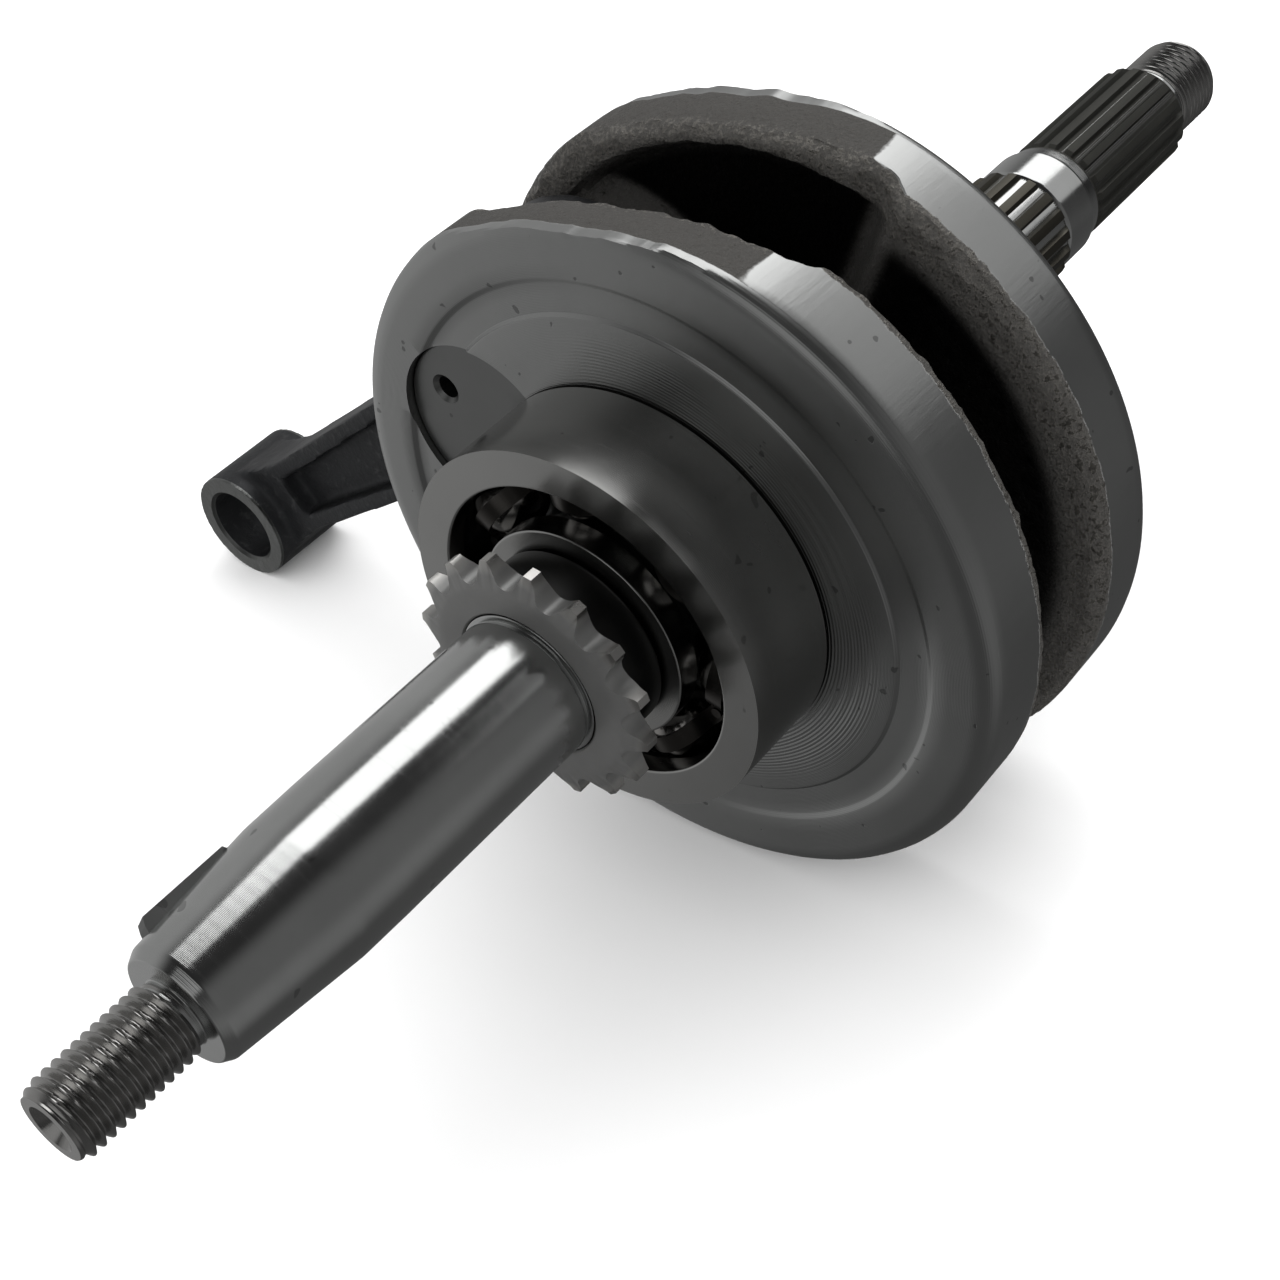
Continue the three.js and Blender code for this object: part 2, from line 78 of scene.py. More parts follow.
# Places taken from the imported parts, in millimetres
LEFT_END = (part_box("left_flywheel")[0] / MM).x
RIGHT_END = (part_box("right_flywheel")[1] / MM).x
RING_LOW, RING_HIGH = (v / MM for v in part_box("bearing_outer_ring"))
SPROCKET_LOW, SPROCKET_HIGH = (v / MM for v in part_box("timing_sprocket"))
PIN_LOW, PIN_HIGH = (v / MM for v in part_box("crank_pin"))
ROD_LOW, ROD_HIGH = (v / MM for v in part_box("connecting_rod"))
KEY_LOW, KEY_HIGH = (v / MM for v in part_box("woodruff_key"))
PIN_PLACE = Vector(next(j for j in frame["joints"] if j["name"] == "rod_swing")["pos_m"]) / MM
THROW = math.hypot(PIN_PLACE.y, PIN_PLACE.z)
THROW_ANGLE = math.atan2(PIN_PLACE.z, PIN_PLACE.y)
SMALL_END_R = 11.1
SMALL_PLACE = Vector((0, ROD_HIGH.y - SMALL_END_R, ROD_LOW.z + SMALL_END_R))
ROD_LENGTH = (SMALL_PLACE - PIN_PLACE).length
ROD_ANGLE = math.atan2(SMALL_PLACE.z - PIN_PLACE.z, SMALL_PLACE.y - PIN_PLACE.y)
RIM_R = 57.4
BEARING_R = (RING_HIGH.z - RING_LOW.z) / 2
BALL_PLACE = Vector(((RING_LOW.x + RING_HIGH.x) / 2, 0, 0))
BALL_CIRCLE_R = 21.75

# Flywheel shape, as in the parts
FACE_LEFT = 22.5
FACE_RIGHT = 21.7
WEIGHT_INNER = 7.9
PIN_SIDE_INNER = 15
BOSS_INNER = 10.8
BOSS_R = 21
SLOPE_TOP = 2
SLOPE_FOOT = -4
LIP_INNER = 11
POCKET_EDGE_R = 52.6
FORGED_DIP = 2.4
FORGED_AT = math.radians(58)
FORGED_HALF = math.radians(34)
RIM_CORNER = 2.6
STEP_OUTER_R = 47.6
STEP_INNER_R = 42
RIM_LEAN = 1.1
INNER_ROUND = 2.6
INNER_ROUND_DEPTH = 1.5
FORGED_LUMP = 1.5

# Left shaft, from its thread to the flywheel
THREAD_STOP = -119.9
THREAD_R = 5.9
NOSE = -119.6
NECK_R = 5.1
TAPER_END = -118
TAPER_START = -97.2
TAPER_SMALL_R = 9.3
TAPER_LARGE_R = 11.2
SHAFT_R = 11.3
UNDERCUT_R = 10.9
SEAT_R = 11.8
SEAT_LENGTH = 12
JOURNAL_R = 12.35
SHOULDER_AT = -22.9
SHOULDER_R = 17.8
KEY_X = (KEY_LOW.x + KEY_HIGH.x) / 2
KEY_CENTRE = 7.2
KEY_HALF = 2
KEY_R = 8
KEY_ANGLE = THROW_ANGLE + math.radians(11.6)
KEY_ROOM = 0.12

# Right shaft, from the flywheel to its thread
BOSS_END = 22.8
JOURNAL_END = 40.5
RIGHT_JOURNAL_R = 12.4
PLAIN_R = 11.9
PLAIN_END = 57.5
SHORT_SPLINES = (58.2, 83.8)
SHORT_SPLINES_R = 11.1
LONG_SPLINES = (95.2, 129.1)
LONG_SPLINES_R = 9.8
RING_START = 84
RING_END = 92
PLAIN_RING_R = 10.5
RIGHT_NECK_R = 7.2
RIGHT_THREAD_START = 132
RIGHT_THREAD_R = 8

# Crank pin, its oil hole, gallery, plug and washers
PIN_R = 15
PIN_HOLE_R = 15.1
OIL_HOLE_OUT = 8.9
OIL_HOLE_TURN = math.radians(10.6)
OIL_HOLE_R = 1.9
GALLERY_R = 4
PLUG_R = 3.9
PLUG_X = (15.5, 19.8)
WASHER_X = (9.25, 10.55)
WASHER_INNER_R = 15.3
WASHER_OUTER_R = 20.5

# Bearings
RACE_R = 6.0
RACE_STEPS = 18
OUTER_LAND_R = 25
INNER_LAND_R = 17.8
INNER_BORE_R = 12.55
CAGE_LOW_R = 20.4
CAGE_HIGH_R = 23.1
CAGE_THICK = 0.7
RIVET_R = 0.85
RIVET_LENGTH = 3.4
NEEDLE_CIRCLE_R = 17.05
NEEDLE_LENGTH = 13

# Sprocket and the collar behind its teeth
TOOTH_WIDTH = 4
TIP_R = 20.45
TIP_HALF = 0.7
ROLLER_SEAT_R = 2.35
ROLLER_SEAT_END = 2.15
SPROCKET_BORE_R = 11.95
COLLAR_R = 15

# Rod
BEAM_WIDE = 10.5
BEAM_NARROW = 7
BEAM_HALF = 6.1
BEAM_STEPS = 14
CHANNEL_INSET = 3.1
CHANNEL_FLOOR = 2.2
BIG_END_R = 23.9
BIG_BORE_R = 19.1
SMALL_BORE_R = 7.5
BIG_FACE = 9
SMALL_FACE = 9.5
FACE_SPLIT = 60
BORE_CHAMFER = 0.6

# Mesh finish: angle of a real corner, and the loops that hold an eased one
SHARP = 32
HOLD = 0.06
EASE_STEPS = 5
EASE_SHARE = 0.42

# Stage, in millimetres; each light has a place, a width and depth in metres and a share of the power
FLOOR_HALF = 3000
CAMERA_PLACE = Vector((-194.9, -164.4, 188.5))
CAMERA_LOOK = Vector((0.5428, 0.5356, -0.6469))
CAMERA_UP = Vector((0.5813, 0.3163, 0.7497))
LIGHT_AIM = Vector((0, 20, 0))
LIGHTS = {
    "main": ((400, 150, 620), 0.85, 0.5, 1.0),
    "rim_fill": ((480, -270, 350), 0.45, 0.34, 0.1),
    "front_fill": ((-640, -60, 300), 0.5, 0.5, 0.12),
}


# ---- sizes and colours


class CrankSizes(bpy.types.PropertyGroup):
    web_facets: IntProperty(name="Flywheel facets", description="Facets round a rim", default=420)
    forged_grain: FloatProperty(
        name="Forged grain", description="Depth of the forged skin's waves, mm", default=0.16
    )
    shaft_facets: IntProperty(name="Shaft facets", description="Facets round a shaft", default=160)
    left_pitch: FloatProperty(name="Left thread pitch", description="Millimetres", default=1.55)
    right_pitch: FloatProperty(name="Right thread pitch", description="Millimetres", default=1.25)
    splines: IntProperty(name="Splines", description="Splines round the right shaft", default=18)
    steel: FloatVectorProperty(
        name="Steel", description="Colour of turned steel", subtype="COLOR", default=(0.42, 0.425, 0.42)
    )
    forged: FloatVectorProperty(
        name="Forged skin", description="Colour as forged", subtype="COLOR", default=(0.105, 0.1, 0.092)
    )
    phosphate: FloatVectorProperty(
        name="Phosphate", description="Colour of the splines", subtype="COLOR", default=(0.045, 0.045, 0.04)
    )


class BearingSizes(bpy.types.PropertyGroup):
    balls: IntProperty(name="Balls", description="Balls in the main bearing", default=7)
    ball_r: FloatProperty(name="Ball radius", description="Millimetres", default=5.7)
    needles: IntProperty(name="Needles", description="Needle rollers in the big end", default=14)
    needle_r: FloatProperty(name="Needle radius", description="Millimetres", default=1.9)
    polish: FloatVectorProperty(
        name="Bearing steel", description="Colour of ground steel", subtype="COLOR",
        default=(0.44, 0.44, 0.43),
    )


class SprocketSizes(bpy.types.PropertyGroup):
    teeth: IntProperty(name="Teeth", description="Teeth of the timing sprocket", default=16)
    root_r: FloatProperty(name="Root radius", description="Millimetres", default=16.9)
    colour: FloatVectorProperty(
        name="Sprocket", description="Colour of the sprocket", subtype="COLOR", default=(0.25, 0.25, 0.246)
    )


class RodSizes(bpy.types.PropertyGroup):
    voxel: FloatProperty(name="Forging detail", description="Millimetres", default=0.6)
    skin: FloatVectorProperty(
        name="Rod skin", description="Colour of the rod", subtype="COLOR", default=(0.028, 0.029, 0.031)
    )


class StageSettings(bpy.types.PropertyGroup):
    lens: FloatProperty(name="Lens", description="Focal length, mm", default=57.66)
    key: FloatProperty(name="Main light", description="Power of the main light, W", default=2.7)


# ---- node trees


class Value:
    """A socket that takes part in arithmetic."""

    def __init__(self, tree, socket):
        self.tree, self.socket = tree, socket

    def __add__(self, o):
        return self.tree.math("ADD", self, o)

    def __sub__(self, o):
        return self.tree.math("SUBTRACT", self, o)

    def __mul__(self, o):
        return self.tree.math("MULTIPLY", self, o)

    def __truediv__(self, o):
        return self.tree.math("DIVIDE", self, o)

    def __radd__(self, o):
        return self.tree.math("ADD", o, self)

    def __rsub__(self, o):
        return self.tree.math("SUBTRACT", o, self)

    def __rmul__(self, o):
        return self.tree.math("MULTIPLY", o, self)

    def __rtruediv__(self, o):
        return self.tree.math("DIVIDE", o, self)


class Tree:
    """A node tree that is written as expressions."""

    def __init__(self, nodes):
        self.nodes, self.links = nodes.nodes, nodes.links

    def node(self, kind, settings=None, **sockets):
        made = self.nodes.new(kind)
        for name, value in (settings or {}).items():
            setattr(made, name, value)
        for name, value in sockets.items():
            key = int(name[1:]) if name[0] == "i" and name[1:].isdigit() else name.replace("_", " ")
            self.feed(made.inputs[key], value)
        return made

    def feed(self, socket, value):
        if isinstance(value, Value):
            self.links.new(value.socket, socket)
        else:
            socket.default_value = value

    def out(self, made, key=0):
        return Value(self, made.outputs[key])

    def math(self, operation, a, b=0.0, clamp=False):
        settings = {"operation": operation, "use_clamp": clamp}
        return self.out(self.node("ShaderNodeMath", settings, i0=a, i1=b))

    def smooth(self, value, low, high):
        """0 below low, 1 above high, smooth between."""
        settings = {"interpolation_type": "SMOOTHSTEP"}
        sockets = {"i0": value, "i1": low, "i2": high, "i3": 0.0, "i4": 1.0}
        return self.out(self.node("ShaderNodeMapRange", settings, **sockets))


class Finish(Tree):
    """A material made of masks, mixes and bumps."""

    def __init__(self, name):
        self.material = bpy.data.materials.new(name)
        self.material.use_nodes = True
        super().__init__(self.material.node_tree)
        self.shader = self.nodes["Principled BSDF"]
        coordinates = self.node("ShaderNodeTexCoord")
        self.place = self.out(coordinates, "Object")
        parts = self.node("ShaderNodeSeparateXYZ", i0=self.place)
        self.x, self.y, self.z = (self.out(parts, i) / MM for i in range(3))

    def from_axis(self, y=0.0, z=0.0):
        dy, dz = self.y - y, self.z - z
        return self.math("SQRT", dy * dy + dz * dz)

    def noise(self, scale, detail=4.0, roughness=0.55, stretch=None):
        place = self.place
        if stretch:
            mapping = self.node("ShaderNodeMapping", None, i0=place, i3=stretch)
            place = self.out(mapping)
        sockets = {"Vector": place, "Scale": scale, "Detail": detail, "Roughness": roughness}
        return self.out(self.node("ShaderNodeTexNoise", None, **sockets), 0)

    def mix(self, factor, a, b):
        a, b = (tone if isinstance(tone, Value) else (*tone[:3], 1) for tone in (a, b))
        return self.out(self.node("ShaderNodeMix", {"data_type": "RGBA"}, i0=factor, i6=a, i7=b), 2)

    def bump(self, height, distance):
        sockets = {"Height": height, "Distance": distance * MM, "Strength": 1.0}
        return self.out(self.node("ShaderNodeBump", None, **sockets))

    def scratches(self, scale, stretch):
        """Fine lines: noise stretched one way and cut to its thin crests."""
        return self.smooth(self.noise(scale, 2.0, 0.5, stretch), 0.62, 0.7)

    def done(self, **sockets):
        for name, value in sockets.items():
            socket = self.shader.inputs[name.replace("_", " ")]
            if isinstance(value, (tuple, list)) or hasattr(value, "foreach_get"):
                value = (*value[:3], 1)
            self.feed(socket, value)
        return self.material


def shade(colour, factor):
    return tuple(c * factor for c in colour)


def flywheel_finish(sizes, name, face):
    """Turned steel on the rim and outer face, forged skin everywhere else, with painted shade deep in the gap
    between the flywheels and a painted highlight on the band inside the rim.
    """
    f = Finish(name)
    r = f.from_axis()
    depth = f.math("ABSOLUTE", f.x)
    grain = f.noise(1250.0, 6.0, 0.62)
    patches = f.noise(40.0, 5.0, 0.6)
    throw = f.y * math.cos(THROW_ANGLE) + f.z * math.sin(THROW_ANGLE)
    from_pin = f.from_axis(PIN_PLACE.y, PIN_PLACE.z)
    ragged = f.noise(170.0, 6.0, 0.7) - 0.5
    on_rim = f.smooth(r + ragged * 0.22, RIM_R - 0.2, RIM_R - 0.13)
    above_edge = f.smooth(depth + ragged * 2.4, WEIGHT_INNER + 2.2, WEIGHT_INNER + 2.5)
    on_face = f.smooth(depth + ragged * 0.5, face - 2.4, face - 2.2)
    machined = f.math("MAXIMUM", on_rim * above_edge, on_face)
    # Painted highlight: a band of forged skin just inside the rim is made lighter where it catches the light;
    # the grain-driven worn high spots are real wear, nudged up on this band
    painted_band_highlight = f.smooth(r, 50.5, 52.5) * (1.0 - f.smooth(depth, LIP_INNER + 1.0, LIP_INNER + 3.5))
    worn = f.smooth(grain + painted_band_highlight * 0.1, 0.58, 0.7)
    rust = f.smooth(f.noise(75.0, 3.0, 0.5), 0.735, 0.75) * (1.0 - machined)
    wall = 1.0 - f.smooth(f.math("ABSOLUTE", throw + 1.0), 2.6, 5.0)
    boss = f.smooth(from_pin, BOSS_R - 1.0, BOSS_R) * (1.0 - f.smooth(from_pin, BOSS_R + 3.0, BOSS_R + 5.0))
    # Painted shade: the forged inner faces deep in the gap between the flywheels are painted near black, less
    # so on the counterweight wall and the pin boss
    painted_gap_shade = (1.0 - f.smooth(r, 47.5, 53.0)) * (1.0 - f.math("MAXIMUM", wall, boss) * 0.7)
    # Skin lighter on worn high spots (real wear) and much lighter on the painted highlight band
    skin = f.mix(worn * (0.35 + painted_band_highlight * 0.65), shade(sizes.forged, 0.62), shade(sizes.forged, 2.8))
    skin = f.mix(painted_gap_shade, skin, shade(sizes.forged, 0.1))
    skin = f.mix(rust, skin, (0.1, 0.022, 0.012))
    pits = f.smooth(f.noise(420.0, 1.0, 0.5), 0.745, 0.765)
    steel = f.mix(patches, shade(sizes.steel, 0.85), shade(sizes.steel, 1.15))
    steel = f.mix(pits * 0.6, steel, shade(sizes.steel, 0.3))
    inside = 1.0 - f.smooth(r, STEP_INNER_R - 6, STEP_INNER_R - 1)
    rings = f.math("SINE", r * (TURN / 0.56)) * inside * f.smooth(f.noise(16.0), 0.35, 0.6)
    rings = rings * 1.1 + f.math("SINE", r * (TURN / 0.24)) * 0.2
    forged_bump = f.bump(grain + f.noise(1100.0, 4.0, 0.7) * 0.5, 0.6)
    marks = (rings + f.noise(240.0, 4.0, 0.6) * 0.9 - pits) * on_face
    marks = marks + f.noise(300.0, 4.0, 0.65, (0.25, 2.5, 2.5)) * 1.6 * (1.0 - on_face)
    steel_bump = f.bump(marks, 0.022)
    bump = f.node("ShaderNodeMix", {"data_type": "VECTOR"}, i0=machined, i4=forged_bump, i5=steel_bump)
    rough = machined * (-0.28) + 0.62 + (patches - 0.5) * 0.16 - worn * (1.0 - machined) * 0.26
    colour = f.mix(machined, skin, steel)
    # The painted gap shade is also made metallic, so that it takes no diffuse light and stays dark
    metal = f.math("MAXIMUM", machined, f.math("MAXIMUM", painted_gap_shade, worn * 0.8 + 0.3))
    return f.done(Base_Color=colour, Metallic=metal, Roughness=rough, Normal=f.out(bump, 1))


def turned_finish(name, colour, rough, ring_pitch=0.18, ring_depth=0.004, stain=0.2):
    """Ground or turned steel: fine rings round the shaft, scratches and a few stains."""
    f = Finish(name)
    rings = f.math("SINE", f.x * (TURN / ring_pitch)) + f.math("SINE", f.from_axis() * (TURN / ring_pitch))
    patches = f.noise(55.0, 5.0, 0.6)
    lines = f.scratches(900.0, (1.6, 0.12, 0.12))
    spots = f.smooth(f.noise(300.0, 1.0, 0.5), 0.75, 0.77)
    tone = f.mix(patches, shade(colour, 1.0 - stain), shade(colour, 1.0 + stain))
    tone = f.mix(spots * 0.5, tone, shade(colour, 0.35))
    bump = f.bump(rings * 0.3 + f.noise(500.0, 3.0, 0.6, (2.0, 0.2, 0.2)) + lines * 0.3, ring_depth)
    rough_map = rough + (patches - 0.5) * 0.16 + lines * 0.04
    return f.done(Base_Color=tone, Metallic=1.0, Roughness=rough_map, Normal=bump)


def skin_finish(name, colour, edge_colour, face_colour):
    """The rod's dark rough skin with worn high spots, and its machined end faces."""
    f = Finish(name)
    grain = f.noise(480.0, 7.0, 0.65)
    patches = f.noise(60.0, 4.0, 0.6)
    worn = f.smooth(grain, 0.55, 0.7) * 0.45
    tone = f.mix(worn, f.mix(patches, shade(colour, 0.75), shade(colour, 1.25)), edge_colour)
    machined = f.smooth(f.math("ABSOLUTE", f.x), BIG_FACE - 0.1, BIG_FACE - 0.04)
    tone = f.mix(machined, tone, face_colour)
    rough_map = 0.48 + (patches - 0.5) * 0.2 - machined * 0.14
    metal_map = f.math("MAXIMUM", 0.55 + patches * 0.1, machined)
    return f.done(Base_Color=tone, Metallic=metal_map, Roughness=rough_map, Normal=f.bump(grain, 0.22))


def worn_edge_finish(name, colour, edge, low, high, rough=0.42):
    """Dark satin steel that is worn bright between two radii, as on tooth tips and spline crests."""
    f = Finish(name)
    r = f.from_axis()
    patches = f.noise(90.0, 5.0, 0.6)
    worn = f.smooth(r + (f.noise(300.0, 4.0, 0.6) - 0.5) * 0.9, low, high)
    tone = f.mix(worn, f.mix(patches, shade(colour, 0.75), shade(colour, 1.25)), edge)
    lines = f.noise(380.0, 3.0, 0.6, (0.4, 2.0, 2.0))
    bump = f.bump(lines, 0.02)
    rough_map = rough - worn * 0.14 + (patches - 0.5) * 0.14
    return f.done(Base_Color=tone, Metallic=0.8 + worn * 0.2, Roughness=rough_map, Normal=bump)


def plain_finish(name, colour):
    f = Finish(name)
    tone = f.mix(f.noise(3.0), shade(colour, 0.985), colour)
    return f.done(Base_Color=tone, Roughness=0.9)


# ---- repeating shapes


def new_tree(name, inputs):
    tree = bpy.data.node_groups.new(name, "GeometryNodeTree")
    tree.interface.new_socket("Geometry", in_out="OUTPUT", socket_type="NodeSocketGeometry")
    for label, kind in inputs.items():
        tree.interface.new_socket(label, in_out="INPUT", socket_type="NodeSocket" + kind)
    made = Tree(tree)
    made.group = tree
    made.inputs = tree.nodes.new("NodeGroupInput")
    return made


def close_tree(t, geometry):
    realised = t.node("GeometryNodeRealizeInstances", None, i0=geometry)
    dressed = t.node(
        "GeometryNodeSetMaterial", None, i0=t.out(realised), i2=t.out(t.inputs, "Material")
    )
    output = t.nodes.new("NodeGroupOutput")
    t.links.new(dressed.outputs[0], output.inputs[0])
    return t.group


def copies_tree():
    """Balls or rollers set out evenly round a circle in the XY plane."""
    t = new_tree(
        "Copies round a circle",
        {"Count": "Int", "Circle": "Float", "Radius": "Float", "Length": "Float", "Round": "Bool",
         "Material": "Material"},
    )
    value = {k: t.out(t.inputs, k) for k in ("Count", "Circle", "Radius", "Length", "Round")}
    circle = t.node("GeometryNodeMeshCircle", None, Vertices=value["Count"], Radius=value["Circle"])
    sphere = t.node("GeometryNodeMeshUVSphere", None, Segments=48, Rings=24, Radius=value["Radius"])
    roller = t.node(
        "GeometryNodeMeshCylinder", None, Vertices=32, Radius=value["Radius"], Depth=value["Length"]
    )
    choice = t.node(
        "GeometryNodeSwitch", {"input_type": "GEOMETRY"},
        Switch=value["Round"], i1=t.out(roller), i2=t.out(sphere),
    )
    placed = t.node(
        "GeometryNodeInstanceOnPoints", None, Points=t.out(circle), Instance=t.out(choice)
    )
    return close_tree(t, t.out(placed))


def wave_tree():
    """A closed bar along X whose radius rises and falls: splines, or a thread where Turns is set."""
    floats = ("Start", "End", "Radius", "Depth", "Count", "Turns", "Crest", "Flank", "Run Out")
    whole = ("Along", "Around")
    kinds = {**dict.fromkeys(floats, "Float"), **dict.fromkeys(whole, "Int"), "Material": "Material"}
    t = new_tree("Waved bar", kinds)
    start, end, radius, depth, count, turns, crest, flank, run_out, along, around = (
        t.out(t.inputs, k) for k in floats + whole
    )
    grid = t.node(
        "GeometryNodeMeshGrid", None, Size_X=1.0, Size_Y=1.0, Vertices_X=along, Vertices_Y=around
    )
    parts = t.node("ShaderNodeSeparateXYZ", None, i0=t.out(t.node("GeometryNodeInputPosition")))
    u, v = t.out(parts, 0) + 0.5, t.out(parts, 1) + 0.5
    last = along - 1.0
    station = u * last
    share = t.math("DIVIDE", station - 1.0, last - 2.0, clamp=True)
    body = t.math("GREATER_THAN", station, 0.5) * t.math("LESS_THAN", station, last - 0.5)
    phase = v * count + share * turns
    off_crest = t.math("ABSOLUTE", t.math("FRACT", phase) - 0.5) * 2.0
    valley = t.math("DIVIDE", off_crest - crest, flank, clamp=True)
    length = end - start
    to_end = t.math("MINIMUM", share, 1.0 - share) * length
    kept = t.math("DIVIDE", to_end, run_out, clamp=True)
    level = (radius - depth + depth * (1.0 - valley) * kept) * body
    angle = v * TURN
    place = t.node(
        "ShaderNodeCombineXYZ", None, X=start + share * length,
        Y=level * t.math("COSINE", angle), Z=level * t.math("SINE", angle),
    )
    moved = t.node("GeometryNodeSetPosition", None, Geometry=t.out(grid), Position=t.out(place))
    merged = t.node("GeometryNodeMergeByDistance", None, Geometry=t.out(moved), Distance=1e-6)
    return close_tree(t, t.out(merged))


def applied(piece):
    """The piece's mesh with its modifiers applied."""
    evaluated = piece.evaluated_get(bpy.context.evaluated_depsgraph_get())
    return bpy.data.meshes.new_from_object(evaluated)


def grown(name, tree, **values):
    """A plain mesh object from a node tree and its inputs."""
    holder = bpy.data.objects.new(name + "_holder", bpy.data.meshes.new(name + "_holder"))
    bpy.context.scene.collection.objects.link(holder)
    modifier = holder.modifiers.new("Shape", "NODES")
    modifier.node_group = tree
    sockets = {i.name: i.identifier for i in tree.interface.items_tree if i.in_out == "INPUT"}
    for key, value in values.items():
        modifier[sockets[key.replace("_", " ")]] = value
    mesh = applied(holder)
    holder.modifiers.remove(modifier)
    bpy.data.objects.remove(holder)
    return finished(name, mesh)


# ---- meshes


def finished(name, mesh, sharp=SHARP):
    """An object at the origin with doubles merged, faces outwards and only real corners sharp."""
    work = bmesh.new()
    work.from_mesh(mesh)
    bmesh.ops.remove_doubles(work, verts=work.verts, dist=1e-7)
    bmesh.ops.recalc_face_normals(work, faces=work.faces)
    for face in work.faces:
        face.smooth = True
    for edge in work.edges:
        edge.smooth = len(edge.link_faces) == 2 and edge.calc_face_angle(0) < math.radians(sharp)
    work.to_mesh(mesh)
    work.free()
    mesh.name = name
    made = bpy.data.objects.new(name, mesh)
    bpy.context.scene.collection.objects.link(made)
    return made


def mesh_of(name, points, faces):
    mesh = bpy.data.meshes.new(name)
    mesh.from_pydata([tuple(p) for p in np.asarray(points, float)], [], faces)
    return mesh


def strips(rings, facets, closed=False):
    """Quads between rings of points, and from the last ring back to the first where closed."""
    return [
        (i * facets + j, i * facets + (j + 1) % facets,
         (i + 1) % rings * facets + (j + 1) % facets, (i + 1) % rings * facets + j)
        for i in range(rings if closed else rings - 1)
        for j in range(facets)
    ]


def eased(profile):
    """A profile of (x, r, easing): corners with an easing become short curves."""
    out = []
    for i, (x, r, *ease) in enumerate(profile):
        easing = ease[0] if ease else 0
        here = Vector((x, r))
        if not easing or i in (0, len(profile) - 1):
            out.append((x, r))
            continue
        before = Vector(profile[i - 1][:2]) - here
        after = Vector(profile[i + 1][:2]) - here
        reach = [min(easing, side.length * EASE_SHARE) for side in (before, after)]
        a, b = here + before.normalized() * reach[0], here + after.normalized() * reach[1]
        if before.length > 1:
            out.append(tuple(here + before.normalized() * (reach[0] + HOLD)))
        for step in range(EASE_STEPS + 1):
            s = step / EASE_STEPS
            out.append(tuple(a * (1 - s) ** 2 + here * (2 * s * (1 - s)) + b * s**2))
        if after.length > 1:
            out.append(tuple(here + after.normalized() * (reach[1] + HOLD)))
    return out


def turned_mesh(name, profile, facets, centre=(0.0, 0.0), closed=False):
    """A profile in millimetres turned about a line along X."""
    line = eased(profile)
    angles = np.arange(facets) * TURN / facets
    points = []
    for x, r in line:
        ring = np.c_[np.full(facets, x), centre[0] + r * np.cos(angles), centre[1] + r * np.sin(angles)]
        points.append(ring * MM)
    return mesh_of(name, np.concatenate(points), strips(len(line), facets, closed))


def turned_piece(name, profile, facets, centre=(0.0, 0.0), closed=False):
    return finished(name, turned_mesh(name, profile, facets, centre, closed))


def cut(piece, tools, operation="DIFFERENCE"):
    """Cuts the tools out of a piece, and removes the tools."""
    for tool in tools:
        modifier = piece.modifiers.new("Cut", "BOOLEAN")
        modifier.operation, modifier.solver, modifier.object = operation, "EXACT", tool
        mesh = applied(piece)
        piece.modifiers.remove(modifier)
        piece.data = mesh
        bpy.data.objects.remove(tool)
    return piece


def resharpened(piece, sharp=SHARP):
    name, mesh = piece.name, piece.data
    bpy.data.objects.remove(piece)
    return finished(name, mesh, sharp)


def dressed(piece, material, body, slot, *nodes):
    piece.data.materials.clear()
    piece.data.materials.append(material)
    piece.data.polygons.foreach_set("material_index", [0] * len(piece.data.polygons))
    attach(piece, body)
    if nodes:
        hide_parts(*nodes)
    return piece


def upright(piece, place, angle):
    """Turns a mesh built round Z so that it runs along X through `place`."""
    to_x = Matrix(((0, 0, 1, 0), (1, 0, 0, 0), (0, 1, 0, 0), (0, 0, 0, 1)))
    turn = Matrix.Rotation(angle, 4, "X")
    piece.data.transform(Matrix.Translation(place * MM) @ turn @ to_x)
    return piece


def smoothstep(value, low, high):
    s = min(1.0, max(0.0, (value - low) / (high - low)))
    return s * s * (3 - 2 * s)


# ---- flywheels


def rim_radius(angle, roughness):
    """The outline at an angle from the throw: turned, but as forged in two stretches near the pin."""
    from_pin = abs((angle + math.pi) % TURN - math.pi)
    across = abs(from_pin - FORGED_AT) / FORGED_HALF
    if across >= 1:
        return RIM_R
    dip = FORGED_DIP * (1 + math.cos(math.pi * across)) / 2
    return RIM_R - dip + roughness * min(1.0, dip) * 0.5


def inner_depth(throw, across, r, edge):
    """Distance of a flywheel's inner face from the middle plane: pocket, lip, boss, counterweight."""
    from_pin = math.hypot(throw - THROW, across)
    boss = 1 - smoothstep(from_pin, BOSS_R - 1, BOSS_R + 3.5)
    lip = smoothstep(r, POCKET_EDGE_R - 3.4, POCKET_EDGE_R - 0.6)
    floor = PIN_SIDE_INNER + (LIP_INNER - PIN_SIDE_INNER) * lip
    raised = min(floor, PIN_SIDE_INNER + (BOSS_INNER - PIN_SIDE_INNER) * boss)
    wall = 1 - smoothstep(throw + 1.2 * lip, SLOPE_FOOT, SLOPE_TOP)
    hollow = smoothstep(r, 20, 26) * (1 - smoothstep(r, POCKET_EDGE_R - 5.5, POCKET_EDGE_R - 3))
    weight = WEIGHT_INNER + 1.3 * hollow * smoothstep(-throw, 7, 12)
    soft = max(0.0, 1 - (edge - r) / INNER_ROUND)
    return raised + (weight - raised) * wall + INNER_ROUND_DEPTH * soft * soft


